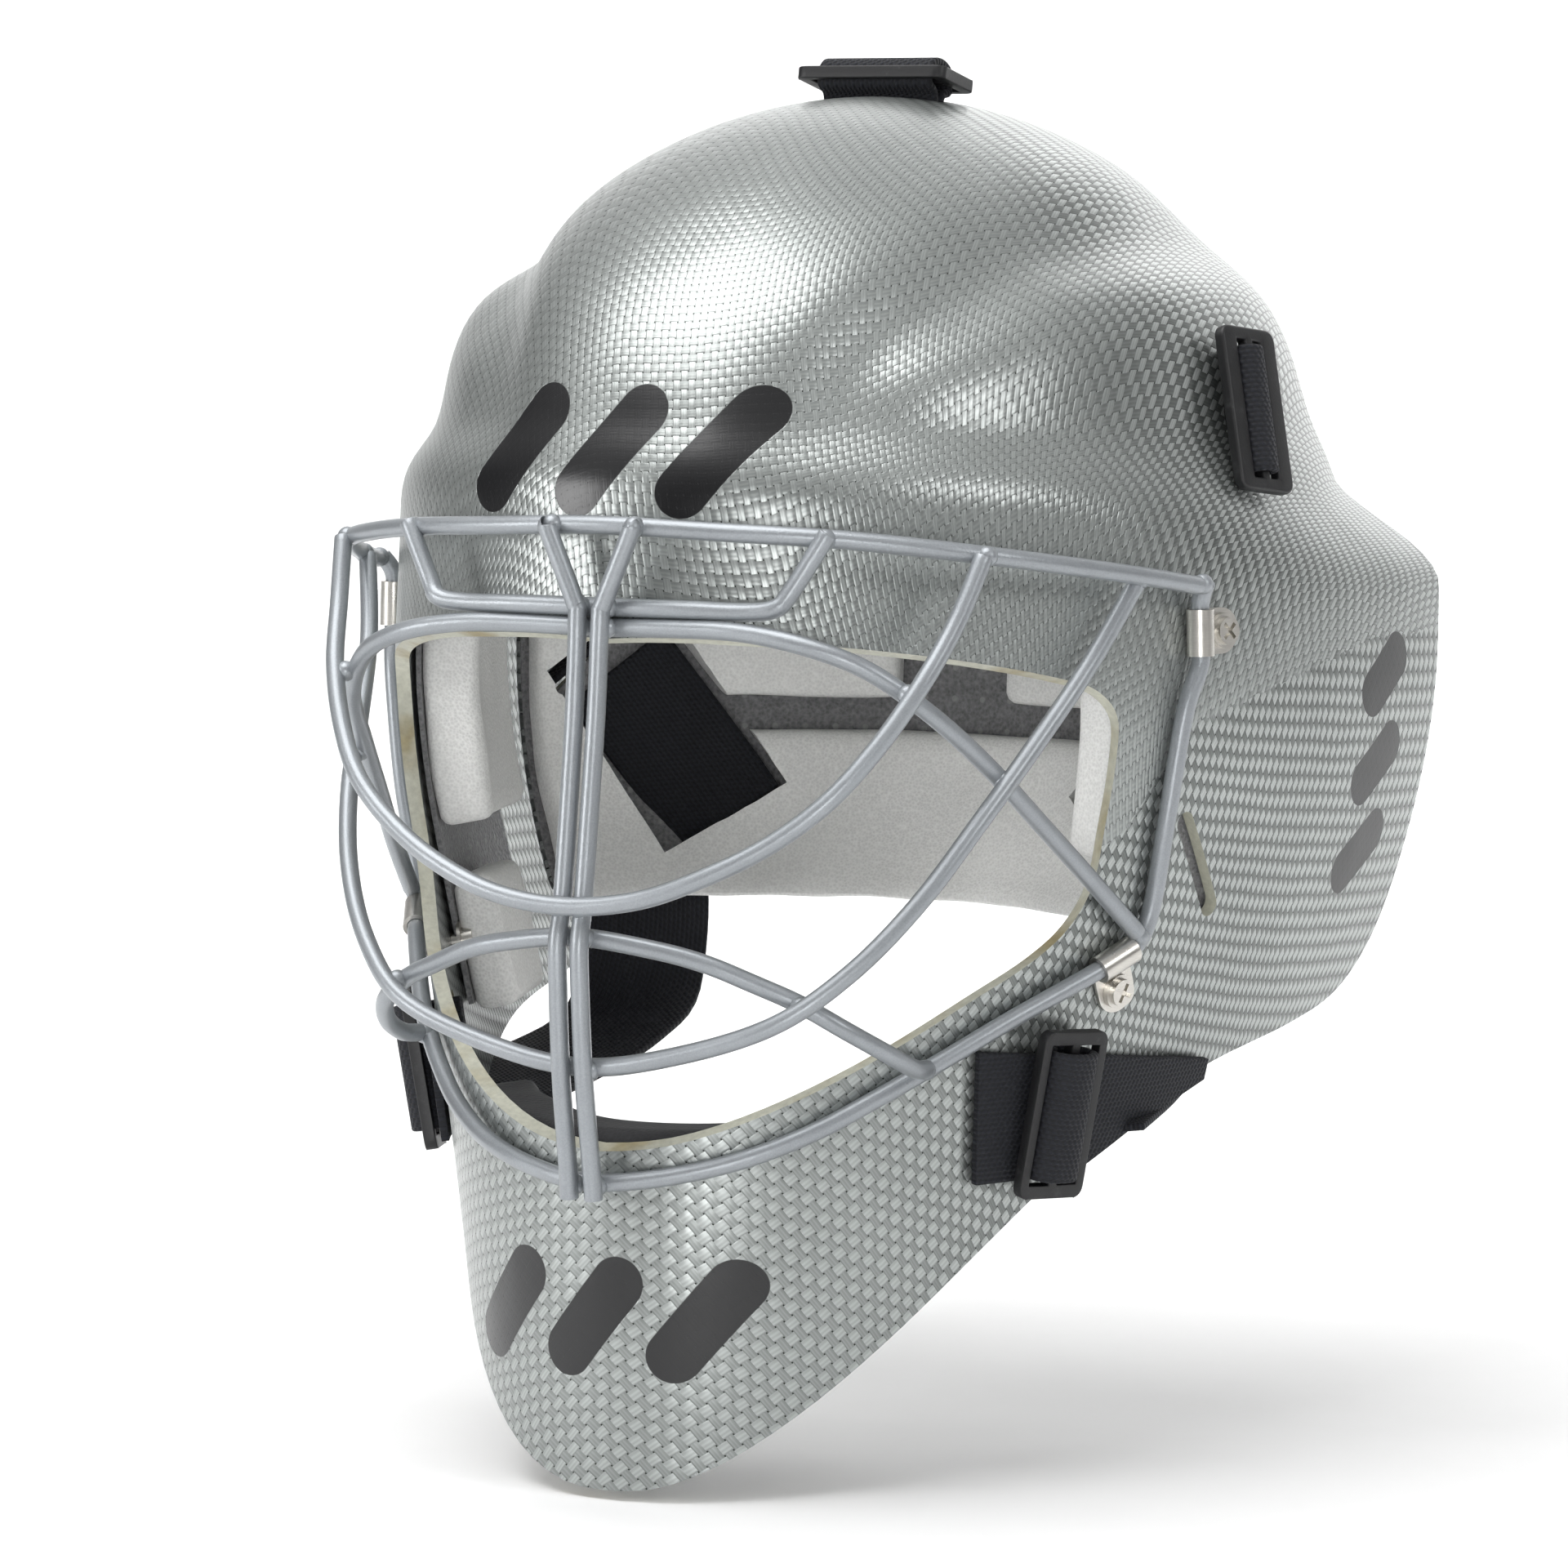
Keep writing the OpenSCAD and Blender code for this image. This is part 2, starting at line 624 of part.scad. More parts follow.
// The sewn end of an upper strap runs from the plate's slot down and inwards: [angle, height]
tab_run = [[45, 12], [41, 2], [37, -8], [33, -18], [29, -28]];
tab_lean = 42;

function tab_path(grow) = [for (p = tab_run) bowl(p[0], p[1], grow)];
function bowl_normal(phi, z) =
    unit(cross(bowl(phi + 1, z, 0) - bowl(phi - 1, z, 0), bowl(phi, z + 1, 0) - bowl(phi, z - 1, 0)));
function tab_across() = [for (i = [0:len(tab_run) - 1])
    cross(tangent(tab_path(0), i), bowl_normal(tab_run[i][0], tab_run[i][1]))];

module plate_slot() {
    translate(bowl(tab_run[0][0] + 2.5, tab_run[0][1] + 5, back_foam)) rotate([0, 0, -tab_run[0][0]])
        rotate([90, 0, 0]) rotate(-tab_lean) slot_cutter(slot_length, slot_height);
}

module tab_room() {
    room = concat([[48, 20]], tab_run);
    ribbon([for (p = room) bowl(p[0], p[1], foam_thick / 2)], concat([tab_across()[0]], tab_across()),
        web_width + 4, foam_thick * 2);
}

module back_shell() {
    color("silver") difference() {
        bowl_patch(-plate_half_angle, plate_half_angle, -40, 84, plate_from, plate_from + back_wall);
        both_sides() plate_slot();
    }
}

module back_lining() {
    color("dimgray") difference() {
        bowl_patch(-plate_half_angle, plate_half_angle, -39, 83, back_foam + 0.1, plate_from - 0.1);
        both_sides() plate_slot();
    }
}

module back_pad_lower() {
    color("white") difference() {
        bowl_patch(-plate_half_angle, plate_half_angle, -41, -4, 0, foam_thick);
        both_sides() tab_room();
    }
}
module back_pad_upper_left() {
    color("white") difference() {
        bowl_patch(8, 48, 4, 60, 0, foam_thick);
        tab_room();
        plate_slot();
    }
}
module back_pad_upper_right() { mirror([1, 0, 0]) back_pad_upper_left(); }

// ---- the straps between the shell and the back plate ----

crown_strap_path = [[0, 13, 138], [0, 15, 130], [0, 21, 116], [0, 29, 102], [0, 34, 91], [0, 36, 86.5]];
upper_strap_path = [[85, 3, 71], [88, 10, 60], [91, 21, 44], [89, 30, 30], [84, 35, 20]];
lower_strap_inner = [[74, -36, -81.5], [72, -14, -82], [70, 8, -80], [67, 20, -72], [66, 23, -60],
    [66, 21, -50]];
lower_strap_across = [[1, 0.2, 0], [1, 0.2, 0], [1, 0.1, 0], [0.9, -0.2, 0], [0.8, -0.5, 0],
    [0.8, -0.6, 0]];

// Height of the lower edge of the shell at an angle, on the stretch behind the jaw sliders
function jaw_edge(th) = lookup(th, [[36, -100], [50, -88], [64, -77], [80, -68.5]]);

module strap_top() {
    color("#101218") ribbon(crown_strap_path, [for (p = crown_strap_path) [1, 0, 0]], web_width, web);
}
module strap_upper_left() {
    color("#101218") ribbon(curve(upper_strap_path, 2), [for (i = [0:8]) [-0.1 * i, 1, 0.5]], web_width, web);
}
module strap_upper_right() { mirror([1, 0, 0]) strap_upper_left(); }
// The outer run lies on the jaw and is folded in over the shell's lower edge
module strap_lower_left() {
    angles = [37:4:77];
    function top(th) = -58 - (th - 37) * 0.2;
    function low(th) = max(jaw_edge(th) - 0.6, -87);
    function outer(th, t, lift) = inside(th, top(th) + (low(th) - top(th)) * t, -lift);
    color("#101218") {
        slab(
            [for (t = [1:-0.25:0]) [for (th = angles) outer(th, t, 0.9 + web)]],
            [for (t = [1:-0.25:0]) [for (th = angles) outer(th, t, 0.9)]]
        );
        ribbon(curve(lower_strap_inner, 2), curve(lower_strap_across, 2), web_width, web);
    }
}
module strap_lower_right() { mirror([1, 0, 0]) strap_lower_left(); }

// The sewn end of an upper strap, laid on the lining between the pads
module strap_tab_left() {
    color("#101218") ribbon(tab_path(foam_thick - 2), tab_across(), web_width, web);
}
module strap_tab_right() { mirror([1, 0, 0]) strap_tab_left(); }

front_shell();
forehead_pad();
crown_pad();
temple_pad_left();
temple_pad_right();
cheek_pad_left();
cheek_pad_right();
lining_left();
lining_right();
chin_pad();
cage_top_bar();
cage_hoop();
cage_brow_loop();
cage_eye_wire();
cage_upper_bow();
cage_lower_bow();
cage_mouth_loop();
cage_centre_bar_left();
cage_centre_bar_right();
cage_clips();
clip_screws();
clip_nuts();
slider_top();
slider_upper_left();
slider_upper_right();
slider_lower_left();
slider_lower_right();
web_loop_top();
web_loop_upper_left();
web_loop_upper_right();
web_loop_lower_left();
web_loop_lower_right();
strap_top();
strap_upper_left();
strap_upper_right();
strap_lower_left();
strap_lower_right();
back_shell();
back_lining();
back_pad_upper_left();
back_pad_upper_right();
back_pad_lower();
strap_tab_left();
strap_tab_right();
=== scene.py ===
"""Goalkeeper mask: the visible pieces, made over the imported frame."""

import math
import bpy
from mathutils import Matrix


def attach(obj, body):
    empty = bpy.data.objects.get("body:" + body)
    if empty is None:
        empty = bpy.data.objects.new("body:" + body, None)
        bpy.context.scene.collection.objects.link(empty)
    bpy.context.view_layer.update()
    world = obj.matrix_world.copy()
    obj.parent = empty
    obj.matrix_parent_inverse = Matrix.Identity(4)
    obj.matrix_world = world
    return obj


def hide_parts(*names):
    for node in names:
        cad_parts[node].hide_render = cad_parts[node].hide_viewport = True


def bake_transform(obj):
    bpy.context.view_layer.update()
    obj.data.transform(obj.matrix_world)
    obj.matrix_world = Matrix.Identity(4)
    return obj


bl_info = {
    "name": "Goalkeeper mask",
    "version": (1, 0, 0),
    "blender": (4, 5, 0),
    "location": "View3D > Sidebar > Mask",
    "description": "Makes the visible pieces of a goalkeeper mask over its packed frame",
    "category": "Add Mesh",
}

import bmesh
import bpy
import numpy as np
from bpy.props import FloatProperty, FloatVectorProperty, PointerProperty
from mathutils import Matrix, Vector, noise

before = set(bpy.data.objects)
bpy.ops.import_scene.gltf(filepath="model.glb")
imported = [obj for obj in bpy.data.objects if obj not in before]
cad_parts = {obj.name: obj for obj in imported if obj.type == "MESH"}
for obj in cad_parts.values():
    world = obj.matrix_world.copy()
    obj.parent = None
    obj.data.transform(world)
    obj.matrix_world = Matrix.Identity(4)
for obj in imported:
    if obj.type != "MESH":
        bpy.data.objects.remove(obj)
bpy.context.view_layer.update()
MM = 0.001
SIDES = (("left", 1.0), ("right", -1.0))


# ---------------------------------------------------------------- settings


def length_property(name, description, default):
    return FloatProperty(name=name, description=description, default=default, unit="LENGTH")


def colour_property(name, description, default):
    return FloatVectorProperty(name=name, description=description, default=default, subtype="COLOR", size=3,
                               min=0, max=1)


class MaskSizes(bpy.types.PropertyGroup):
    """Sizes of the pieces that a user may change."""

    wall: length_property("Shell wall", "Thickness of the laminate", 0.0032)
    wire: length_property("Cage wire", "Diameter of the cage wire", 0.004)
    web: length_property("Webbing", "Thickness of the elastic webbing", 0.0018)
    web_width: length_property("Webbing width", "Width of the elastic", 0.029)
    slider_length: length_property("Slider length", "Slider across the webbing", 0.037)
    slider_width: length_property("Slider width", "Slider along the webbing", 0.018)
    slider_thick: length_property("Slider thickness", "Depth of a slider", 0.0028)


class MaskColours(bpy.types.PropertyGroup):
    """Colours of the finishes."""

    # Bright tow and dark tow are one yarn colour, painted lit and painted shaded: painted light where a yarn
    # faces the lamps, painted shade where it turns away.
    tow: colour_property("Bright tow", "Yarns that face the light", (0.44, 0.465, 0.455))
    tow_painted_shade: colour_property("Dark tow", "Yarns that cross them", (0.085, 0.093, 0.088))
    tow_gap: colour_property("Gaps", "Resin between the yarns", (0.006, 0.009, 0.005))
    resin: colour_property("Cut edge", "Bare laminate at a cut edge", (0.55, 0.55, 0.46))
    mark: colour_property("Stripes", "Printed stripes", (0.006, 0.006, 0.007))
    coat: colour_property("Cage coat", "Powder coat on the cage", (0.31, 0.33, 0.35))
    foam: colour_property("White foam", "Foam blocks", (0.88, 0.88, 0.86))
    foam_black: colour_property("Black foam", "Foam in the chin", (0.02, 0.02, 0.022))
    felt: colour_property("Felt", "Loop lining", (0.22, 0.22, 0.225))
    elastic: colour_property("Elastic", "Knitted webbing", (0.005, 0.006, 0.010))
    plastic: colour_property("Slider plastic", "Moulded sliders", (0.009, 0.009, 0.010))


# ------------------------------------------------ the skin that the shell and its padding follow


DOME = (103, 130, 114)
DOME_Y = 10
DOME_Z = 30


def smooth(a, b, x):
    t = np.clip((x - a) / (b - a), 0.0, 1.0)
    return t * t * (3 - 2 * t)


def bump(x, middle, half):
    return np.exp(-(((x - middle) / half) ** 2))


def plan_radius(th, a, b, c):
    """Radius from the dome's axis to an ellipse a by b, whose centre lies c behind it."""
    q = (np.sin(th) / a) ** 2 + (np.cos(th) / b) ** 2
    k = np.cos(th) * c / (b * b)
    return (-k + np.sqrt(k * k - q * (c * c / (b * b) - 1))) / q


def relief(turn, lat):
    """How far the dome stands proud of its ellipsoid, in mm, at an angle from the front and a latitude."""
    side = smooth(10, 28, turn) * (1 - smooth(100, 150, turn))
    crease = 48 - 21 * np.clip((92 - turn) / 74, 0, 1) ** 3
    terraces = -4 * bump(lat, crease, 7) - 3 * bump(lat, 22, 6) + 2 * bump(lat, 36, 7) * smooth(35, 55, turn)
    return side * terraces + 2.5 * bump(turn, 0, 30) * bump(lat, 38, 16)


def skin(angle, z):
    """The shell's outer skin in mm, at an angle from the front in degrees and a height."""
    angle, z = np.broadcast_arrays(np.asarray(angle, float), np.asarray(z, float))
    th = np.radians(angle)
    turn = np.abs((angle + 180) % 360 - 180)
    lat = np.degrees(np.arcsin(np.clip((z - DOME_Z) / DOME[2], 0, 1)))
    proud = relief(turn, lat)
    level = np.cos(np.radians(lat))
    dome = (plan_radius(th, DOME[0], DOME[1], 0) + proud) * level
    half = 115 - 55 * smooth(20, -190, z)
    mid_y = 63 - 95 * smooth(-20, -190, z)
    front_y = -122 + 5 * smooth(10, 60, z) + 2 * smooth(-110, -165, z)
    body = plan_radius(th, half, mid_y - front_y, mid_y - DOME_Y)
    step = 66 - 18 * smooth(28, 100, turn)
    mix = smooth(step - 14, step + 10, z)
    r = body + (dome - body) * mix
    lift = proud * np.sin(np.radians(lat)) * mix
    return np.stack([r * np.sin(th), DOME_Y - r * np.cos(th), z + lift], axis=-1)


def unit(v):
    return v / np.linalg.norm(v, axis=-1, keepdims=True)


def skin_axes(angle, z):
    """Unit vectors across, up and out of the skin."""
    across = unit(skin(angle + 0.5, z) - skin(angle - 0.5, z))
    up = unit(skin(angle, z + 0.5) - skin(angle, z - 0.5))
    out = unit(np.cross(across, up))
    return across, np.cross(out, across), out


def under_skin(angle, z, depth):
    return skin(angle, z) - skin_axes(angle, z)[2] * np.asarray(depth)[..., None]


def skin_frame(angle, z, lift=0.0, turn=0.0, tilt=0.0):
    """A place on the skin as a matrix: +Z out of it, +Y up it, then turned and tilted. In metres."""
    across, up, out = skin_axes(angle, z)
    origin = (skin(angle, z) + out * lift) * MM
    m = Matrix((
        (across[0], up[0], out[0], origin[0]),
        (across[1], up[1], out[1], origin[1]),
        (across[2], up[2], out[2], origin[2]),
        (0, 0, 0, 1),
    ))
    return m @ Matrix.Rotation(math.radians(turn), 4, "Z") @ Matrix.Rotation(math.radians(tilt), 4, "X")


def spline(points, steps):
    """A smooth curve through points, as rows of an array."""
    p = np.asarray(points, float)
    rows = []
    last = len(p) - 1
    for i in range(last):
        a, b, c, d = p[max(0, i - 1)], p[i], p[i + 1], p[min(last, i + 2)]
        for k in range(steps):
            t = k / steps
            bend = 2 * a - 5 * b + 4 * c - d
            rows.append(b + 0.5 * t * ((c - a) + t * (bend + t * (3 * (b - c) + d - a))))
    rows.append(p[-1])
    return np.array(rows)


def whole(half):
    """A half curve that starts on the middle plane, mirrored and joined."""
    half = np.asarray(half, float)
    other = half[1:][::-1] * (-1, 1, 1)
    return np.vstack([other, half])


UPPER_SLIDER = (83, 75, 80, -10)
LOWER_SLIDER = (47, -72, 86, 0)
SPARE_SLOT = (69, -22, 122)
UPPER_CLIP = (65, 29, 0)
LOWER_CLIP = (55, -40, -66)
CROWN_PLACE = (0, 14, 146.4)
CROWN_TILT = -12
CLIP_REACH = 8.5
SLIDER_LIFT = 6
WIRE_LIFT = 3.1
CROWN_FOAM = (116, 58, 9.5)
FOAM_ROUND = 3.0
SLOT = 0.032
SLOT_HEIGHT = 0.005
SCREW_HOLE = 0.0042

OPENING = [
    (0, 30), (14, 30), (26, 28), (36, 25), (46, 21), (51, 18), (54, 12), (54, 2), (53, -12),
    (52, -24), (49, -33), (44, -40), (36, -48), (25, -60), (15, -70), (7, -76), (0, -78),
]
SIDE_OUTLINE = [
    (-121.5, -151.4), (-119.6, -150.4), (-117.6, -148.6), (-115, -146), (-105, -136),
    (-88, -120), (-68, -102), (-50, -88), (-28, -76), (-4, -68),
    (28, -63), (46, -59), (56, -52), (61, -41), (63, -20), (65, 10), (66, 30), (65, 45), (63, 60), (61, 90),
    (57, 115), (49, 132), (42, 160),
]


def clip_axis(place, along):
    """A point on the wire that a clip holds."""
    return np.array(skin_frame(place[0], place[1], WIRE_LIFT, place[2]) @ Vector((0, along * MM, 0))) / MM


def cage_paths():
    """Every wire of the cage by node name, in mm."""
    top_bar = [(0, -122.5, 54), (28, -119.5, 53), (53, -110.5, 51.5), (77, -93, 48), (94, -62, 43),
               (101.5, -41, 39.5)]
    hoop = [(0, -126, -84), (15, -122.5, -82.5), (30, -116, -78.8), (42.7, -107, -73.2), (53.4, -96.8, -66.2),
            (63.6, -85.1, -58.7), (72.4, -72.8, -51.7), clip_axis(LOWER_CLIP, -5), clip_axis(LOWER_CLIP, 5),
            (91, -41.6, -31), (94.6, -41.9, -12), (98, -40, 12), clip_axis(UPPER_CLIP, -6),
            clip_axis(UPPER_CLIP, 6), (102, -38, 40)]
    brow = [(0, -121.5, 36.8), (20, -121, 36.8), (33, -119.5, 36.6), (40, -119, 37.5), (43, -117.5, 41),
            (50, -114.5, 53)]
    eye = [(0, -121.5, 32.6), (20, -121.5, 32.8), (34, -121.5, 32.4), (48, -120.5, 30), (60, -115.5, 25),
           (70, -105, 15), (76, -90, 3), (81, -75, -10), (85.9, -60.3, -23), (89.9, -46.2, -35)]
    upper = [(0, -137, -24.5), (17, -136.5, -22.5), (32, -134.5, -17), (45, -130.5, -10), (56, -126, -1),
             (64, -119.5, 10), (70, -112, 22), (74, -103.5, 34.5), (77, -96.5, 48)]
    lower = [(0, -130.5, -59), (22, -130, -55.5), (44, -127.5, -48), (58, -119.5, -37), (68.5, -109, -23),
             (76, -96.5, -7.5), (82, -81.5, 8), (88, -67.5, 24), (94.5, -57, 41.5)]
    mouth = [(0, -131.5, -31.5), (17, -129.5, -33.5), (28, -127.5, -36), (38, -124.5, -40), (47, -121.5, -44),
             (55, -116.5, -49.5), (60.5, -107, -55.5), (62, -98, -59.5), (61.5, -91.5, -60.5)]
    bar = [(10, -125.5, 54), (9.4, -125.5, 52), (3.4, -125.6, 38), (2.7, -125.8, 35), (2.6, -127.5, 15),
           (2.5, -131, -10), (2.5, -133.3, -25), (2.6, -135, -32), (2.6, -135, -40), (2.7, -133.6, -60),
           (2.8, -130.6, -80), (2.9, -129.8, -87)]
    paths = {"cage_top_bar": whole(top_bar), "cage_hoop": whole(hoop), "cage_brow_loop": whole(brow),
             "cage_eye_wire": whole(eye), "cage_upper_bow": whole(upper), "cage_lower_bow": whole(lower),
             "cage_mouth_loop": whole(mouth)}
    for side, sign in SIDES:
        paths["cage_centre_bar_" + side] = np.array(bar) * (sign, 1, 1)
    return paths


# ---------------------------------------------------------------- mesh work


def clear_selection():
    if bpy.context.object and bpy.context.object.mode != "OBJECT":
        bpy.ops.object.mode_set(mode="OBJECT")
    bpy.ops.object.select_all(action="DESELECT")


def select_only(obj):
    clear_selection()
    obj.select_set(True)
    bpy.context.view_layer.objects.active = obj


def named(name):
    """The object that an operator has just added, with its name."""
    obj = bpy.context.object
    obj.name = name
    obj.data.name = name
    return obj


def edit(obj, *steps):
    """Edit-mode operators run on the whole of obj."""
    select_only(obj)
    bpy.ops.object.mode_set(mode="EDIT")
    bpy.ops.mesh.select_all(action="SELECT")
    for step in steps:
        step()
    bpy.ops.object.mode_set(mode="OBJECT")


def coords(obj):
    flat = np.empty(len(obj.data.vertices) * 3)
    obj.data.vertices.foreach_get("co", flat)
    return flat.reshape(-1, 3)


def set_coords(obj, points):
    obj.data.vertices.foreach_set("co", np.ascontiguousarray(points, dtype=float).ravel())
    obj.data.update()


def settle(obj):
    """Puts the object's place into its mesh."""
    select_only(obj)
    bpy.ops.object.transform_apply(location=True, rotation=True, scale=True)


def modify(obj, kind, **settings):
    """Adds a modifier and applies it."""
    select_only(obj)
    modifier = obj.modifiers.new(kind.title(), kind)
    for key, value in settings.items():
        setattr(modifier, key, value)
    bpy.ops.object.modifier_apply(modifier=modifier.name)


def merge(obj, distance=0.00002):
    edit(obj, lambda: bpy.ops.mesh.remove_doubles(threshold=distance))


def outwards(obj):
    edit(obj, lambda: bpy.ops.mesh.normals_make_consistent(inside=False))


def turn_faces(obj):
    edit(obj, lambda: bpy.ops.mesh.flip_normals())


def shade(obj, angle=35):
    select_only(obj)
    bpy.ops.object.shade_smooth_by_angle(angle=math.radians(angle))


def bent_grid(name, columns, rows, place):
    """A grid primitive whose points are moved to place(u, v), with u and v from 0 to 1. In mm."""
    clear_selection()
    bpy.ops.mesh.primitive_grid_add(x_subdivisions=columns, y_subdivisions=rows, size=1, calc_uvs=True)
    obj = named(name)
    p = coords(obj)
    set_coords(obj, place(p[:, 0] + 0.5, p[:, 1] + 0.5) * MM)
    return obj


def bent_block(name, size, cuts, radius, place):
    """A cube primitive cut up, its edges rounded, then moved to place(u, v, w), w from its back to its face.

    size is its length, height and thickness in mm, which only sets how round the edges come out."""
    clear_selection()
    bpy.ops.mesh.primitive_cube_add(size=1)
    obj = named(name)
    axes = np.array(size, float)

    def cut(direction, number):
        mesh = bmesh.from_edit_mesh(obj.data)
        for edge in mesh.edges:
            way = edge.verts[0].co - edge.verts[1].co
            edge.select_set(abs(way[direction]) > 0.9 * way.length)
        bpy.ops.mesh.subdivide(number_cuts=number)
        bpy.ops.mesh.select_all(action="SELECT")

    edit(obj, *[lambda d=d, n=n: cut(d, n) for d, n in enumerate(cuts)])
    p = coords(obj) * axes
    core = np.maximum(axes / 2 - radius, 0)
    near = np.clip(p, -core, core)
    away = p - near
    length = np.linalg.norm(away, axis=1, keepdims=True)
    p = np.where(length > 1e-9, near + away / np.maximum(length, 1e-9) * radius, p)
    uvw = p / axes + 0.5
    set_coords(obj, place(uvw[:, 0], uvw[:, 1], uvw[:, 2]) * MM)
    outwards(obj)
    return obj


def boolean(obj, cutter, operation="DIFFERENCE"):
    modify(obj, "BOOLEAN", object=cutter, operation=operation, solver="EXACT", material_mode="TRANSFER")
    bpy.data.objects.remove(cutter, do_unlink=True)


def slot_tool(name, length, height, depth, frame_matrix, material=None):
    """A cutter for a slot with round ends, its long way along +X of the frame."""
    clear_selection()
    bpy.ops.mesh.primitive_cylinder_add(vertices=48, radius=height / 2, depth=depth)
    obj = named(name)
    p = coords(obj)
    p[:, 0] += np.where(p[:, 0] > 1e-6, 1, np.where(p[:, 0] < -1e-6, -1, 0)) * (length - height) / 2
    set_coords(obj, p)
    obj.matrix_world = frame_matrix
    settle(obj)
    if material:
        obj.data.materials.append(material)
    return obj


def prism_tool(name, outline, material=None):
    """A cutter that keeps what lies in front of and above an outline of (y, z) in mm."""
    clear_selection()
    bpy.ops.mesh.primitive_circle_add(vertices=len(outline), radius=1, fill_type="NGON")
    obj = named(name)
    p = np.array([(-150, y, z) for y, z in outline]) * MM
    set_coords(obj, p)
    edit(obj, lambda: bpy.ops.mesh.extrude_region_move(TRANSFORM_OT_translate={"value": (0.3, 0, 0)}))
    outwards(obj)
    if material:
        obj.data.materials.append(material)
    return obj


def ring_tool(name, rim, near, far, centre, material=None):
    """A cone cutter from a centre through a closed rim, both in mm."""
    clear_selection()
    bpy.ops.mesh.primitive_cylinder_add(vertices=len(rim), radius=1, depth=2)
    obj = named(name)
    p = coords(obj)
    share = np.arctan2(p[:, 0], p[:, 1]) % (2 * math.pi) / (2 * math.pi)
    turn = np.round(share * len(rim)).astype(int) % len(rim)
    scale = np.where(p[:, 2] > 0, far, near)[:, None]
    set_coords(obj, (centre + (rim[turn] - centre) * scale) * MM)
    outwards(obj)
    if material:
        obj.data.materials.append(material)
    return obj


def world_uv(obj, name, values):
    """A UV map whose value at each point is given by values, one row for each vertex."""
    layer = obj.data.uv_layers.new(name=name)
    corner = np.empty(len(obj.data.loops), dtype=int)
    obj.data.loops.foreach_get("vertex_index", corner)
    layer.data.foreach_set("uv", np.ascontiguousarray(values[corner], dtype=np.float32).ravel())
    return layer


def only_uv(obj, name, values):
    """The same, in place of the UV maps that obj has."""
    while obj.data.uv_layers:
        obj.data.uv_layers.remove(obj.data.uv_layers[0])
    world_uv(obj, name, values)


def dress(obj, body, slot, material, *nodes):
    """The finished piece: where it rides, what it stands for and its material."""
    if material is not None:
        obj.data.materials.clear()
        obj.data.materials.append(material)
    if nodes:
        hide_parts(*nodes)
    if body:
        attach(obj, body)
    return obj


# ---------------------------------------------------------------- shader maths


class Wire:
    """A number in a shader tree, with the usual arithmetic."""

    def __init__(self, tree, socket):
        self.tree = tree
        self.socket = socket

    def math(self, operation, *others, clamp=False):
        values = {i: v for i, v in enumerate((self,) + others)}
        return self.tree.add("ShaderNodeMath", {"operation": operation, "use_clamp": clamp}, values)

    def __add__(self, other):
        return self.math("ADD", other)

    def __sub__(self, other):
        return self.math("SUBTRACT", other)

    def __mul__(self, other):
        return self.math("MULTIPLY", other)

    def __truediv__(self, other):
        return self.math("DIVIDE", other)

    def __rsub__(self, other):
        return self.tree.add("ShaderNodeMath", {"operation": "SUBTRACT"}, {0: other, 1: self})

    __radd__ = __add__
    __rmul__ = __mul__

    def sin(self):
        return self.math("SINE")

    def sign(self):
        return self.math("SIGN")

    def fract(self):
        return self.math("FRACT")

    def abs(self):
        return self.math("ABSOLUTE")

    def sqrt(self):
        return self.math("SQRT")

    def power(self, exponent):
        return self.math("POWER", exponent)

    def above(self, other):
        return self.math("GREATER_THAN", other)

    def below(self, other):
        return self.math("LESS_THAN", other)

    def max(self, other):
        return self.math("MAXIMUM", other)

    def min(self, other):
        return self.math("MINIMUM", other)

    def clamp(self):
        return self.math("ADD", 0.0, clamp=True)

    def ramp(self, low, high, start=0.0, end=1.0):
        """Smoothly from start to end as the value goes from low to high."""
        values = {0: self, 1: low, 2: high, 3: start, 4: end}
        return self.tree.add("ShaderNodeMapRange",
                             {"interpolation_type": "SMOOTHSTEP", "clamp": True}, values)


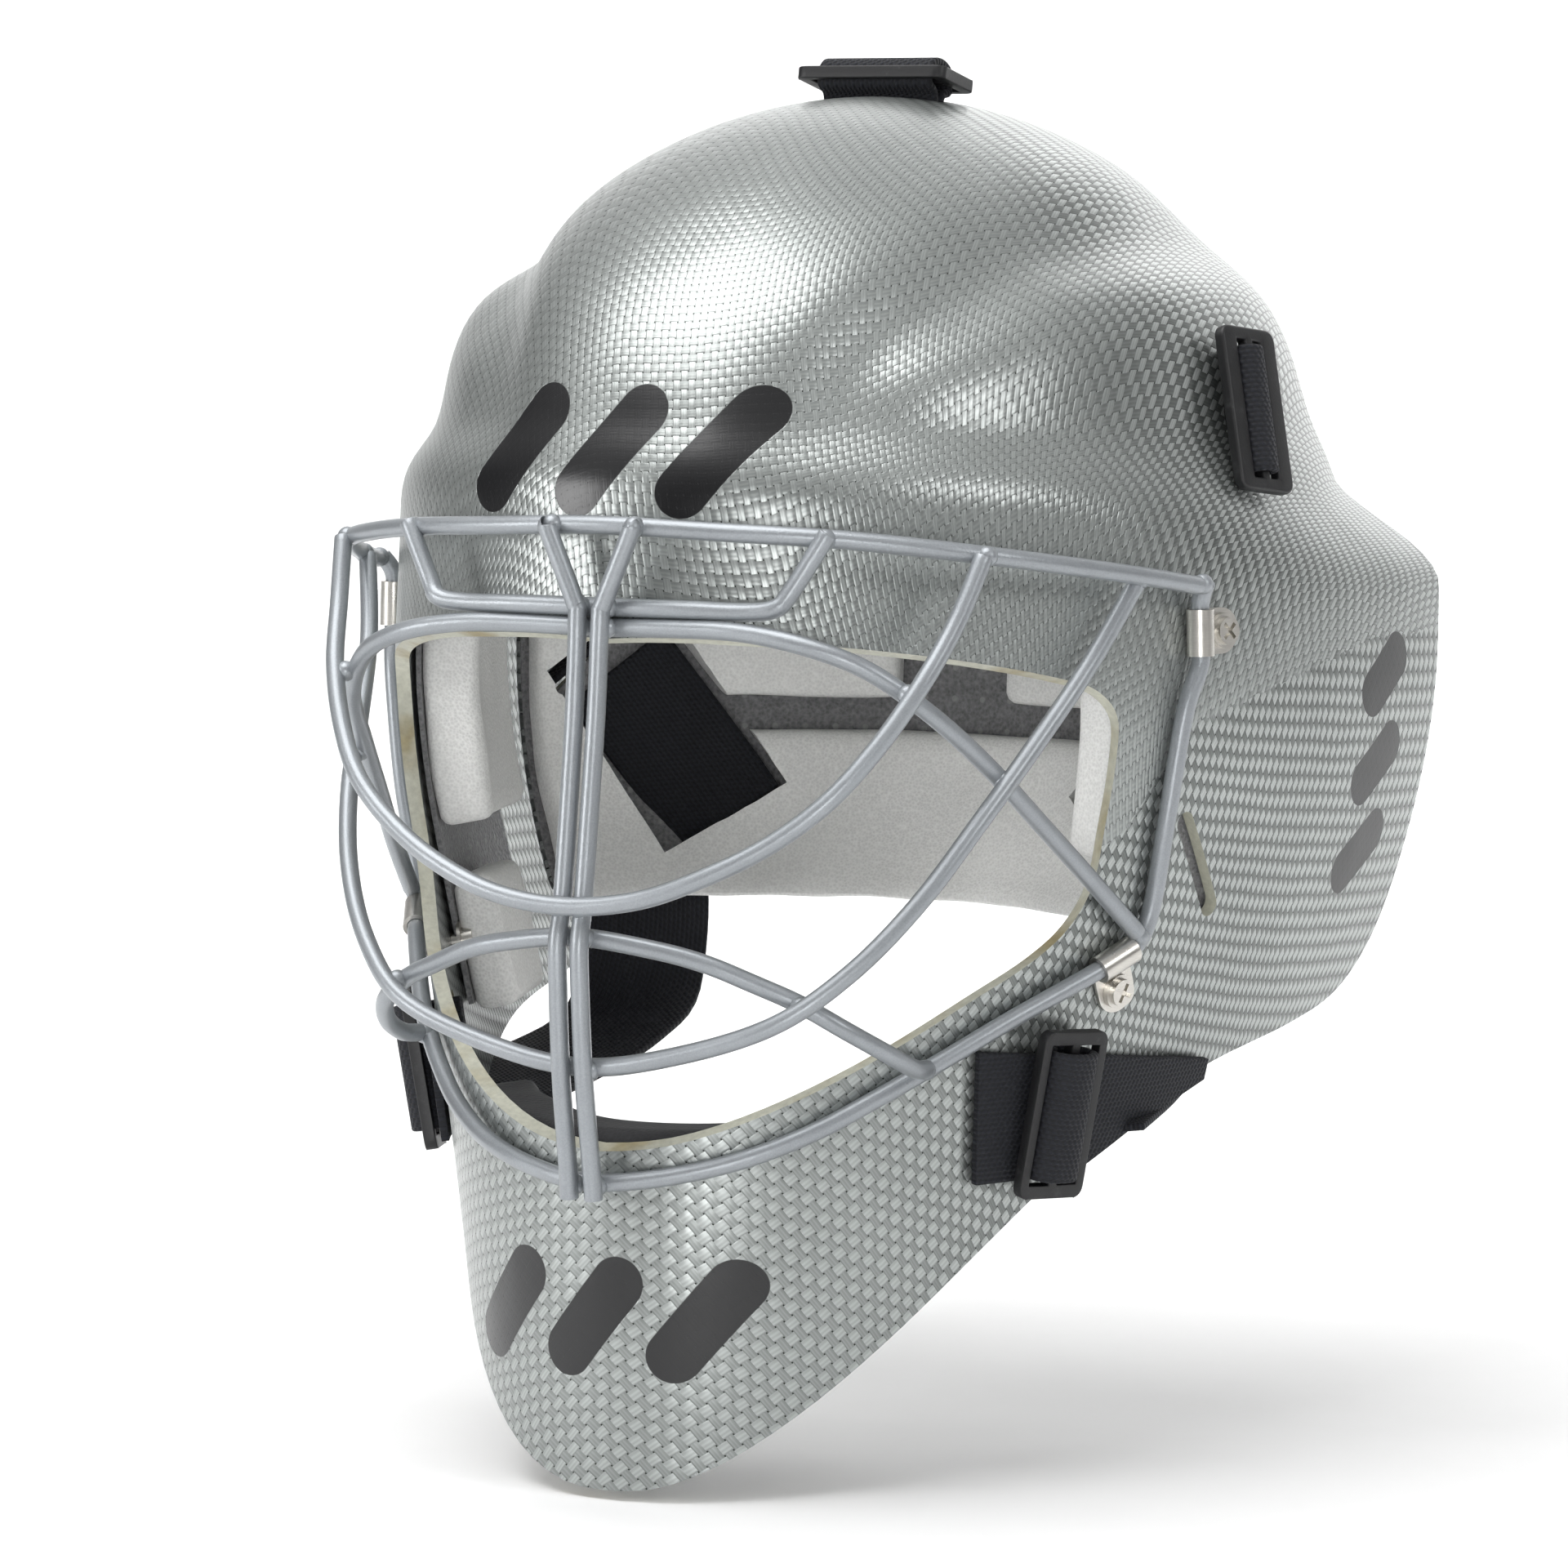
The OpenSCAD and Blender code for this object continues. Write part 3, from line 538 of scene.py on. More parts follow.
class Finish:
    """A material under construction."""

    def __init__(self, name):
        self.material = bpy.data.materials.new(name)
        self.material.use_nodes = True
        self.nodes = self.material.node_tree.nodes
        self.links = self.material.node_tree.links
        self.nodes.clear()

    def add(self, kind, settings=None, values=None, output=0):
        """Adds a node: its settings first, then the values or links of its sockets."""
        node = self.nodes.new(kind)
        for key, value in (settings or {}).items():
            if key == "stops":
                self.set_stops(node.color_ramp, value)
            else:
                setattr(node, key, value)
        for key, value in (values or {}).items():
            if isinstance(value, Wire):
                self.links.new(value.socket, node.inputs[key])
            else:
                node.inputs[key].default_value = value
        return Wire(self, node.outputs[output]) if node.outputs else None

    @staticmethod
    def set_stops(ramp, stops):
        while len(ramp.elements) < len(stops):
            ramp.elements.new(1.0)
        for element, (position, colour) in zip(ramp.elements, stops):
            element.position = position
            element.color = (*colour, 1.0)

    def object_point(self):
        return self.add("ShaderNodeTexCoord", output="Object")

    def split(self, vector):
        node = self.nodes.new("ShaderNodeSeparateXYZ")
        self.links.new(vector.socket, node.inputs[0])
        return [Wire(self, output) for output in node.outputs]

    def uv(self, name):
        return self.add("ShaderNodeUVMap", {"uv_map": name})

    def attribute(self, name):
        return self.add("ShaderNodeAttribute", {"attribute_name": name}, output="Fac")

    def noise(self, scale, detail=3.0, roughness=0.55, vector=None, output="Fac"):
        values = {"Vector": vector or self.object_point(), "Scale": scale, "Detail": detail,
                  "Roughness": roughness}
        return self.add("ShaderNodeTexNoise", None, values, output)

    def cells(self, scale, vector=None, feature="F1", output="Distance"):
        values = {"Vector": vector or self.object_point(), "Scale": scale}
        return self.add("ShaderNodeTexVoronoi", {"feature": feature}, values, output)

    def blend(self, factor, first, second):
        """A colour between two, by a factor from 0 to 1."""
        values = {0: factor, 6: opaque(first), 7: opaque(second)}
        return self.add("ShaderNodeMix", {"data_type": "RGBA", "clamp_factor": True}, values, 2)

    def shade(self, colour, amount):
        """A colour made darker or brighter by a number."""
        grey = self.add("ShaderNodeCombineXYZ", None, {0: amount, 1: amount, 2: amount})
        return self.add("ShaderNodeMix", {"data_type": "RGBA", "blend_type": "MULTIPLY"},
                        {0: 1.0, 6: opaque(colour), 7: grey}, 2)

    def bump(self, height, distance, normal=None):
        values = {"Height": height, "Distance": distance, "Strength": 1.0}
        if normal:
            values["Normal"] = normal
        return self.add("ShaderNodeBump", None, values)

    def surface(self, colour, roughness, metallic=0.0, normal=None, **fixed):
        """Closes the tree with one Principled shader. fixed sets its other sockets by name."""
        values = {"Base Color": opaque(colour), "Roughness": roughness, "Metallic": metallic}
        for key, value in fixed.items():
            values[key.replace("_", " ").title().replace("Ior", "IOR")] = value
        if normal:
            values["Normal"] = normal
        shader = self.add("ShaderNodeBsdfPrincipled", None, values)
        self.add("ShaderNodeOutputMaterial", None, {"Surface": shader})
        return self.material


def opaque(colour):
    """A colour with its alpha, or a link as it is."""
    return colour if isinstance(colour, Wire) or len(colour) == 4 else (*colour, 1.0)


# ---------------------------------------------------------------- finishes


def weave_lattices(p):
    """Yarn counts over the dome and over the cheeks and jaw for points in mm, with where each holds.

    Returns two arrays of (yarns one way, yarns the other way), the lower zone's share, and how far the yarns
    line up in rows there, which also sets how strongly the tows are painted lit and shaded."""
    x, y, z = p[:, 0], p[:, 1], p[:, 2]
    v = 230 * np.arctan2(z + 150, DOME_Y - y)
    u = x + 0.7 * np.clip(120 - z, -10, 170) * (x / 100) ** 3
    front = (285 - v + np.sqrt((285 - v) ** 2 + 225)) / 2
    rows = 0.45 * v - 0.4 * front + 17 * np.tanh(u / 32)
    fan = np.sqrt(u * u + 900) - 30
    along = 0.526 * (v - 250) * np.exp(-((u / 45) ** 2)) - 0.526 * u - 0.4 * fan * np.sign(u)
    dome = np.stack([(rows + along) / 2, (rows - along) / 2], axis=-1)

    angle = np.degrees(np.arctan2(x, DOME_Y - y))
    turn = np.abs(angle)
    arc = 100 * np.radians(angle)
    way = np.arange(0, 181.0)
    fall = np.cumsum(np.interp(way, [0, 10, 45, 65, 100, 180],
                               [0, 0.25, 0.33, 0.2, 0.08, 0])) * math.radians(100)
    low_rows = np.interp(turn, [0, 40, 90], [0.60, 0.56, 0.52]) * (z + np.interp(turn, way, fall))
    low_along = arc * np.interp(turn, [0, 90, 180], [0.67, 0.85, 0.9])
    jaw = np.stack([(low_rows + low_along) / 2, (low_rows - low_along) / 2], axis=-1)

    switch = np.interp(turn, [0, 45, 55, 65, 85, 100, 180], [0, -20, -15, 9, 18, 24, 24])
    lower = np.clip((switch - z) / 12 + 0.5, 0, 1)
    # How far the yarns line up in rows. This also sets where the painted light and painted shade between
    # bright and dark tows shows.
    upper_rows_and_painted_light = smooth(45, 75, turn) * smooth(10, 50, z)
    lower_rows_and_painted_light = 0.25 + 0.6 * smooth(20, 50, turn)
    lined = upper_rows_and_painted_light + (lower_rows_and_painted_light - upper_rows_and_painted_light) * np.round(lower)
    return dome, jaw, lower, lined


def stripes(finish, x, z, low, high, middles, lean, radius):
    """Slanted bars with round ends between two heights. 1 inside, 0 outside."""
    nearest = None
    for middle in middles:
        run, rise = 2 * lean, high - low
        t = ((x - (middle - lean)) * run + (z - low) * rise) / (run * run + rise * rise)
        t = t.clamp()
        dx = x - (middle - lean) - t * run
        dz = z - low - t * rise
        distance = (dx * dx + dz * dz).sqrt()
        nearest = distance if nearest is None else nearest.min(distance)
    return nearest.ramp(radius - 0.00012, radius + 0.00012, 1.0, 0.0)


def woven_laminate(colours):
    """Silver yarns woven plain under a clear, glossy resin, with printed stripes. The yarns carry painted
    light and painted shade.
    """
    f = Finish("woven_laminate")
    lower = f.attribute("lower")
    lined = f.attribute("lined")
    wander = f.noise(240.0, 2.0) - 0.5
    pick = (lower + wander * 0.25).above(0.5)
    uv = f.add("ShaderNodeMix", {"data_type": "VECTOR"}, {0: pick, 4: f.uv("dome"), 5: f.uv("jaw")}, 1)
    a, b, _ = f.split(uv)
    drift = f.noise(90.0, 2.0)
    a = a + (drift - 0.5) * 0.35
    b = b + (f.noise(95.0, 2.0) - 0.5) * 0.35
    sa, sb = (a * math.pi).sin(), (b * math.pi).sin()
    fa, fb = a.fract() - 0.5, b.fract() - 0.5
    half = 0.43
    across_a, across_b = fb * (1 / half), fa * (1 / half)
    flat_a, flat_b = 1 - (across_a * across_a).power(2.0), 1 - (across_b * across_b).power(2.0)
    level_a = flat_a * 0.4 + sa * sb.sign() * 0.6 - flat_a.below(0) * 2 + lined * 0.14
    level_b = flat_b * 0.4 - sb * sa.sign() * 0.6 - flat_b.below(0) * 2
    height = level_a.max(level_b)
    on_a = level_a.above(level_b)
    across = across_a * on_a + across_b * (1 - on_a)
    fibres = (across * 8.0).sin() * 0.5 + 0.5
    tuck = (level_a - level_b).abs().ramp(0.0, 0.35, 1.0, 0.0)
    # Painted shade along each tow's edges, where the yarn rounds away from the light.
    painted_edge_shade = across.abs().ramp(0.55, 1.0)
    gap = height.ramp(-0.6, 0.1, 1.0, 0.0)
    cloud = f.noise(28.0, 3.0)
    # Painted light and shade: the yarn on top takes the bright tow colour and the yarn beside it the painted
    # shade colour. plain is a weaker copy of the same painted light and shade.
    tow = f.blend(on_a, tuple(colours.tow_painted_shade), tuple(colours.tow))
    plain = f.blend(0.62 + on_a * 0.16, tuple(colours.tow_painted_shade), tuple(colours.tow))
    # The full painted light and shade of the tows where the yarns line up in rows, the weaker plain copy
    # elsewhere.
    tow = f.blend(lined * 0.75, plain, tow)
    tow = f.shade(tow, fibres * 0.22 + cloud * 0.30 + 0.78 - painted_edge_shade * 0.22)
    woven = f.blend((gap + tuck * 0.5).clamp() * 0.92, tow, tuple(colours.tow_gap))

    x, y, z = f.split(f.object_point())
    ahead = y.below(-0.06)
    front_bars = (-0.026, -0.002, 0.022)
    brow = stripes(f, x, z, 0.061, 0.077, front_bars, 0.006, 0.0058) * ahead
    chin = stripes(f, x, z, -0.121, -0.106, front_bars, 0.006, 0.0058) * ahead
    down = z + y * 0.18
    side = stripes(f, down, y, 0.031, 0.042, (-0.018, 0.002, 0.022), 0.005, 0.0052) * x.abs().above(0.09)
    marks = brow.max(chin).max(side)
    outside = f.attribute("outside")
    marks = marks * outside
    colour = f.blend(marks, woven, tuple(colours.mark))
    rough = 0.34 + gap * 0.12 - marks * 0.05
    normal = f.bump(height * (1 - marks * 0.9) + fibres * 0.05, 0.00010)
    waves = f.noise(55.0, 1.0)
    normal = f.bump(waves, 0.0004, normal)
    return f.surface(colour, rough, 0.7 - marks * 0.7, normal, coat_weight=0.22, coat_roughness=0.2)


def laminate_edge(colours):
    """The cut through the laminate: pale resin with its plies."""
    f = Finish("laminate_edge")
    plies = f.noise(700.0, 2.0)
    stain = f.noise(60.0, 3.0)
    colour = f.blend(stain.ramp(0.45, 0.75), tuple(colours.resin), (0.36, 0.30, 0.16))
    colour = f.shade(colour, plies * 0.5 + 0.72)
    return f.surface(colour, 0.5, 0.0, f.bump(plies, 0.00008))


def powder_coat(colours):
    """Silver powder coat with its fine texture and a few worn places."""
    f = Finish("powder_coat")
    grain = f.noise(2600.0, 2.0)
    flake = f.cells(3000.0)
    long_wear = f.noise(70.0, 4.0)
    colour = f.shade(tuple(colours.coat), grain * 0.35 + long_wear * 0.25 + 0.72)
    rough = 0.30 + grain * 0.18
    return f.surface(colour, rough, 0.55, f.bump(grain * 0.6 + flake * 0.4, 0.00005), coat_weight=0.2,
                     coat_roughness=0.2)


def bright_steel():
    """Rolled stainless sheet, lightly brushed and handled."""
    f = Finish("bright_steel")
    x, y, z = f.split(f.object_point())
    stretched = f.add("ShaderNodeCombineXYZ", None, {0: x * 400.0, 1: y * 400.0, 2: z * 5200.0})
    brushed = f.noise(1.0, 3.0, vector=stretched)
    smudge = f.noise(160.0, 3.0)
    colour = f.shade((0.62, 0.60, 0.56), brushed * 0.3 + smudge * 0.25 + 0.74)
    return f.surface(colour, 0.20 + smudge * 0.2, 1.0, f.bump(brushed, 0.00002))


def foam(name, tint, cell=1500.0):
    """Closed-cell foam: fine cells, soft shading, a few marks."""
    f = Finish(name)
    pores = f.cells(cell)
    lumps = f.noise(180.0, 4.0)
    grime = f.noise(35.0, 3.0)
    colour = f.shade(tint, pores * 0.25 + grime * 0.22 + 0.78)
    height = pores * 0.5 + lumps * 0.9
    return f.surface(colour, 0.82, 0.0, f.bump(height, 0.00022), sheen_weight=0.08)


def loop_felt(colours):
    """Dark loop lining: fuzzy fibres with rows of pale pinholes."""
    f = Finish("loop_felt")
    fuzz = f.noise(900.0, 4.0)
    curls = f.cells(1100.0)
    a, b, _ = f.split(f.uv("UVMap"))
    spacing = 0.0072
    ca, cb = (a / spacing).fract() - 0.5, (b / spacing).fract() - 0.5
    dots = ((ca * ca + cb * cb).sqrt() + (fuzz - 0.5) * 0.12).ramp(0.07, 0.12, 1.0, 0.0)
    colour = f.shade(tuple(colours.felt), fuzz * 1.3 + curls * 0.5 + 0.15)
    colour = f.blend(dots * 0.6, colour, (0.42, 0.42, 0.42))
    return f.surface(colour, 0.95, 0.0, f.bump(fuzz + curls * 0.7, 0.00045), sheen_weight=0.25,
                     sheen_roughness=0.5)


def knitted_elastic(colours):
    """Black elastic webbing: lengthwise ribs crossed by fine stitches."""
    f = Finish("knitted_elastic")
    u, v, _ = f.split(f.uv("web"))
    rib = (v * (2 * math.pi / 0.0011)).sin()
    row = (v * (math.pi / 0.0011)).sin().sign()
    stitch = ((u * (2 * math.pi / 0.00135)) + row * 1.3 + rib * 0.6).sin()
    knit = rib * 0.5 + stitch * 0.5
    fluff = f.noise(1600.0, 3.0)
    light = knit.ramp(-0.6, 0.9) * 0.9 + fluff * 0.8 + 0.25
    colour = f.shade(tuple(colours.elastic), light)
    return f.surface(colour, 0.78, 0.0, f.bump(knit + fluff * 0.6, 0.00016), sheen_weight=0.04,
                     sheen_roughness=0.4)


def slider_plastic(colours):
    """Moulded black plastic with a fine satin grain and scuffs."""
    f = Finish("slider_plastic")
    grain = f.noise(2400.0, 2.0)
    scuffs = f.noise(240.0, 5.0, 0.7)
    worn = scuffs.ramp(0.56, 0.74)
    colour = f.blend(worn * 0.5, tuple(colours.plastic), (0.055, 0.055, 0.058))
    return f.surface(colour, 0.36 + grain * 0.14 + worn * 0.12, 0.0, f.bump(grain, 0.00003))


FINISHES = {}


def make_finishes(colours):
    FINISHES.update(
        laminate=woven_laminate(colours), edge=laminate_edge(colours), coat=powder_coat(colours),
        steel=bright_steel(), foam=foam("white_foam", tuple(colours.foam)),
        foam_black=foam("black_foam", tuple(colours.foam_black), 1100.0), felt=loop_felt(colours),
        elastic=knitted_elastic(colours), plastic=slider_plastic(colours))


# ---------------------------------------------------------------- pieces


class MASK_OT_finishes(bpy.types.Operator):
    """Make the materials"""

    bl_idname = "mask.finishes"
    bl_label = "Materials"

    def execute(self, context):
        make_finishes(context.scene.mask_colours)
        return {"FINISHED"}


def shell_rim():
    """The face opening's closed rim on the skin, in mm."""
    half = spline([skin(a, z) for a, z in OPENING], 5)
    half[0][0] = half[-1][0] = 0
    return np.vstack([half, half[1:-1][::-1] * (-1, 1, 1)])


def lay_weave(obj):
    """Writes the yarn counts and zones that the woven material reads."""
    p = coords(obj) / MM
    dome, jaw, lower, lined = weave_lattices(p)
    world_uv(obj, "dome", dome)
    world_uv(obj, "jaw", jaw)
    for name, values in (("lower", lower), ("lined", lined)):
        obj.data.attributes.new(name, "FLOAT", "POINT").data.foreach_set("value", values.astype(np.float32))


def mark_outside(obj, is_outside):
    """A face attribute that is 1 where printing may show."""
    layer = obj.data.attributes.new("outside", "FLOAT", "FACE")
    layer.data.foreach_set("value", np.array(is_outside, dtype=np.float32))


class MASK_OT_shell(bpy.types.Operator):
    """Mould the front shell and cut its opening, edges, slots and screw holes"""

    bl_idname = "mask.shell"
    bl_label = "Front shell"

    def execute(self, context):
        sizes = context.scene.mask_sizes
        split, low_z = 0.56, -164

        def place(u, v):
            low = low_z + v / split * (DOME_Z - low_z)
            high = DOME_Z + DOME[2] * np.sin(np.clip((v - split) / (1 - split), 0, 1) * math.pi / 2)
            return skin(-180 + 360 * u, np.where(v < split, low, high))

        shell = bent_grid("shell", 160, 150, place)
        merge(shell)
        side = shell.data.polygons[len(shell.data.polygons) // 3]
        away = side.center - Vector((0, DOME_Y * MM, 0))
        if side.normal.xy.dot(away.xy) < 0:
            turn_faces(shell)
        modify(shell, "SOLIDIFY", thickness=sizes.wall, offset=-1, use_even_offset=True)
        shell.data.materials.append(FINISHES["laminate"])
        edge = FINISHES["edge"]
        outline = spline(SIDE_OUTLINE, 5).tolist() + [(-200, 160), (-200, -151.4)]
        boolean(shell, prism_tool("outline_tool", outline, edge), "INTERSECT")
        boolean(shell, ring_tool("opening_tool", shell_rim(), 0.8, 2.4, np.array((0, 10, -20)), edge))
        tools = [slot_tool("slot", SLOT, SLOT_HEIGHT, 0.024, crown_frame(0), edge)]
        for _, sign in SIDES:
            for place_on, length in ((UPPER_SLIDER, SLOT), (LOWER_SLIDER, SLOT), (SPARE_SLOT, 0.028)):
                spot = skin_frame(place_on[0], place_on[1], 0, place_on[2])
                tools.append(slot_tool("slot", length, SLOT_HEIGHT, 0.024, to_side(sign) @ spot, edge))
            for clip in (UPPER_CLIP, LOWER_CLIP):
                spot = skin_frame(*clip[:2], 0, clip[2]) @ Matrix.Translation((CLIP_REACH * MM, 0, 0))
                tools.append(slot_tool("hole", SCREW_HOLE, SCREW_HOLE, 0.02, to_side(sign) @ spot, edge))
        for tool in tools:
            outwards(tool)
            boolean(shell, tool)
        lay_weave(shell)
        outside = []
        for face in shell.data.polygons:
            c = face.center
            sideways = face.normal.x * c.x + face.normal.y * (c.y - DOME_Y * MM)
            outside.append(sideways + max(face.normal.z * c.z, 0) > 0)
        mark_outside(shell, outside)
        shade(shell, 32)
        dress(shell, "mask", "laminate", None, "front_shell")
        return {"FINISHED"}


def to_side(sign):
    """Nothing for the +X side, and a mirror to the other one."""
    return Matrix.Diagonal((sign, 1, 1, 1))


def crown_frame(lift):
    place = Matrix.Translation(Vector(CROWN_PLACE) * MM) @ Matrix.Rotation(math.radians(CROWN_TILT), 4, "X")
    return place @ Matrix.Translation((0, 0, lift * MM))


def tube(name, path, radius):
    """A round wire along a path in mm, made from a curve primitive and closed at its ends."""
    clear_selection()
    bpy.ops.curve.primitive_nurbs_path_add()
    obj = bpy.context.object
    line = obj.data.splines[0]
    line.points.add(len(path) - len(line.points))
    for point, place in zip(line.points, path):
        point.co = (*(np.asarray(place) * MM), 1.0)
    line.use_endpoint_u = True
    line.order_u = 3
    obj.data.resolution_u = 2
    obj.data.bevel_depth = radius
    obj.data.bevel_resolution = 5
    obj.data.use_fill_caps = True
    obj.data.twist_mode = "MINIMUM"
    select_only(obj)
    bpy.ops.object.convert(target="MESH")
    obj = named(name)
    merge(obj, 0.00001)
    outwards(obj)
    return obj


class MASK_OT_cage(bpy.types.Operator):
    """Bend the cage wires and lay the weld beads"""

    bl_idname = "mask.cage"
    bl_label = "Cage"

    def execute(self, context):
        radius = context.scene.mask_sizes.wire / 2
        lines = {name: spline(path, 6) for name, path in cage_paths().items()}
        for name, line in lines.items():
            wire = tube(name.replace("cage_", "wire_"), line, radius)
            modify(wire, "BEVEL", width=0.0005, segments=2, limit_method="ANGLE", angle_limit=1.0)
            shade(wire, 50)
            dress(wire, "mask", "cage_coat", FINISHES["coat"], name)
        self.weld(lines, radius)
        return {"FINISHED"}

    @staticmethod
    def weld(lines, radius):
        """Small melted beads where two wires cross."""
        names = sorted(lines)
        spots = []
        for i, first in enumerate(names):
            for second in names[i + 1:]:
                gap = np.linalg.norm(lines[first][:, None] - lines[second][None], axis=2)
                ways = [unit(np.gradient(lines[n], axis=0)) for n in (first, second)]
                gap[np.abs(ways[0] @ ways[1].T) > 0.93] = 1e9
                while gap.min() < 5.2:
                    j, k = np.unravel_index(gap.argmin(), gap.shape)
                    spots.append((lines[first][j] + lines[second][k]) / 2)
                    near = np.linalg.norm(lines[first] - lines[first][j], axis=1) < 9
                    gap[near] = 1e9
        beads = []
        for spot in spots:
            clear_selection()
            bpy.ops.mesh.primitive_uv_sphere_add(segments=16, ring_count=10, radius=radius * 1.12,
                                                 location=Vector(spot) * MM)
            bead = named("bead")
            settle(bead)
            beads.append(bead)
        select_only(beads[0])
        for bead in beads:
            bead.select_set(True)
        bpy.ops.object.join()
        bead = named("weld_beads")
        shade(bead, 60)
        dress(bead, "mask", "cage_coat", FINISHES["coat"])


class MASK_OT_hardware(bpy.types.Operator):
    """Finish the clips, screws and nuts"""

    bl_idname = "mask.hardware"
    bl_label = "Clips and screws"

    def execute(self, context):
        for node in ("cage_clips", "clip_screws", "clip_nuts"):
            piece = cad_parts[node]
            piece.data.materials.clear()
            piece.data.materials.append(FINISHES["steel"])
        return {"FINISHED"}


def slider_piece(name, spot, sizes, rim=0.0022):
    """A flat buckle with two windows and a bar, its edges rounded. The webbing runs along its Y."""
    clear_selection()
    bpy.ops.mesh.primitive_grid_add(x_subdivisions=3, y_subdivisions=5, size=1)
    obj = named(name)
    p = coords(obj)
    long, wide, thick = sizes.slider_length, sizes.slider_width, sizes.slider_thick
    xs = np.array([-long / 2, -long / 2 + 0.0030, long / 2 - 0.0030, long / 2])
    ys = np.array([-wide / 2, -wide / 2 + rim, -0.0012, 0.0012, wide / 2 - rim, wide / 2])
    p[:, 0] = xs[np.round((p[:, 0] + 0.5) * 3).astype(int)]
    p[:, 1] = ys[np.round((p[:, 1] + 0.5) * 5).astype(int)]
    p[:, 2] = thick / 2
    set_coords(obj, p)

    def cut_windows():
        mesh = bmesh.from_edit_mesh(obj.data)
        mesh.faces.ensure_lookup_table()
        for face in mesh.faces:
            c = face.calc_center_median()
            face.select_set(abs(c.x) < long / 2 - 0.0031 and 0.0013 < abs(c.y) < wide / 2 - rim)
        bpy.ops.mesh.delete(type="FACE")
        bpy.ops.mesh.select_all(action="SELECT")
        bpy.ops.mesh.extrude_region_move(TRANSFORM_OT_translate={"value": (0, 0, -thick)})
        bpy.ops.mesh.select_all(action="SELECT")
        bpy.ops.mesh.normals_make_consistent(inside=False)

    def round_corners():
        mesh = bmesh.from_edit_mesh(obj.data)
        for edge in mesh.edges:
            a, b = edge.verts
            upright = abs(a.co.z - b.co.z) > thick * 0.9
            edge.select_set(upright and abs(abs(a.co.x) - long / 2) < 1e-6
                            and abs(abs(a.co.y) - wide / 2) < 1e-6)
        bpy.ops.mesh.bevel(offset=0.0026, segments=6)
        bpy.ops.mesh.select_all(action="SELECT")

    edit(obj, cut_windows, round_corners)
    modify(obj, "BEVEL", width=0.0007, segments=4, limit_method="ANGLE", angle_limit=math.radians(40))
    obj.matrix_world = spot
    settle(obj)
    shade(obj, 40)
    return obj


def webbing(name, path, across, width, thick, rounded=0.0006, columns=14):
    """Flat webbing along a path in mm; across[i] points along its width at the path's point i."""
    path = np.asarray(path, float)
    ahead = unit(np.gradient(path, axis=0))
    side = np.asarray(across, float)
    side = unit(side - ahead * np.sum(side * ahead, axis=1)[:, None])
    length = np.concatenate([[0], np.cumsum(np.linalg.norm(np.diff(path, axis=0), axis=1))])
    rows = len(path) - 1
    clear_selection()
    bpy.ops.mesh.primitive_grid_add(x_subdivisions=columns, y_subdivisions=rows, size=1)
    obj = named(name)
    p = coords(obj)
    i = np.round((p[:, 1] + 0.5) * rows).astype(int)
    half = width / 2 / MM
    where = path[i] + side[i] * (p[:, 0] * 2 * half)[:, None]
    uv = np.stack([length[i] * MM, p[:, 0] * width], axis=-1)
    set_coords(obj, where * MM)
    only_uv(obj, "web", uv)
    modify(obj, "SOLIDIFY", thickness=thick, offset=0, use_even_offset=True)
    outwards(obj)
    modify(obj, "BEVEL", width=rounded, segments=3, limit_method="ANGLE", angle_limit=math.radians(50))
    shade(obj, 50)
    return obj


def loop_path(reach, rise):
    """The webbing out of its slot, up through one window, over the bar and back by the other, in mm."""
    half = [(1.2, -11), (1.2, -6), (2.2, -3.2), (reach * 0.92, -2.0), (reach, -0.6),
            (reach * 0.96, rise * 0.4),
            (reach * 0.62, rise * 0.85)]
    points = [(0, -y, z) for y, z in half] + [(0, 0, rise)] + [(0, y, z) for y, z in reversed(half)]
    return spline(points, 5)


class MASK_OT_sliders(bpy.types.Operator):
    """Mould the five sliders and thread the elastic through them"""

    bl_idname = "mask.sliders"
    bl_label = "Sliders"

    def execute(self, context):
        sizes = context.scene.mask_sizes
        spots = {"top": crown_frame(sizes.slider_thick / 2 / MM)}
        for side, sign in SIDES:
            for level, place in (("upper", UPPER_SLIDER), ("lower", LOWER_SLIDER)):
                spot = skin_frame(place[0], place[1], SLIDER_LIFT, place[2], place[3])
                spots[level + "_" + side] = to_side(sign) @ spot
        for where, spot in spots.items():
            body = "slider_" + where + "_body"
            snug = where.startswith("upper")
            buckle = slider_piece("buckle_" + where, spot, sizes, 0.0048 if snug else 0.0022)
            if spot.determinant() < 0:
                turn_faces(buckle)
            dress(buckle, body, "slider_plastic", FINISHES["plastic"], "slider_" + where)
            path = loop_path(*((2.9, 2.6) if snug else (5.4, 3.9)))
            loop = webbing("loop_" + where, path, [(1, 0, 0)] * len(path),
                           sizes.web_width - 0.0006, sizes.web)
            loop.matrix_world = spot
            settle(loop)
            if spot.determinant() < 0:
                turn_faces(loop)
            dress(loop, body, "elastic", FINISHES["elastic"], "web_loop_" + where)
        return {"FINISHED"}


def pad_on_skin(name, angles, heights, depths, radius, step=2.2):
    """A foam block on the inside of the shell between two angles, heights and depths, its edges rounded."""
    middle = (sum(heights) / 2, sum(angles) / 2)
    wide = float(np.linalg.norm(skin(angles[1], middle[0]) - skin(angles[0], middle[0])))
    tall = heights[1] - heights[0]
    thick = depths[1] - depths[0]
    cuts = (int(wide / step), int(tall / step), max(5, int(thick / 1.4)))

    def place(u, v, w):
        angle = angles[0] + (angles[1] - angles[0]) * u
        z = heights[0] + tall * v
        return under_skin(angle, z, depths[0] + thick * w)

    return bent_block(name, (wide, tall, thick), cuts, radius, place)


def roughen(obj, amount, scale, seed=0.0):
    """Moves each point a little along its normal, by smooth noise."""
    for vertex in obj.data.vertices:
        shift = noise.noise(Vector(vertex.co) * scale + Vector((seed, 0, 0))) * amount
        vertex.co += vertex.normal * shift


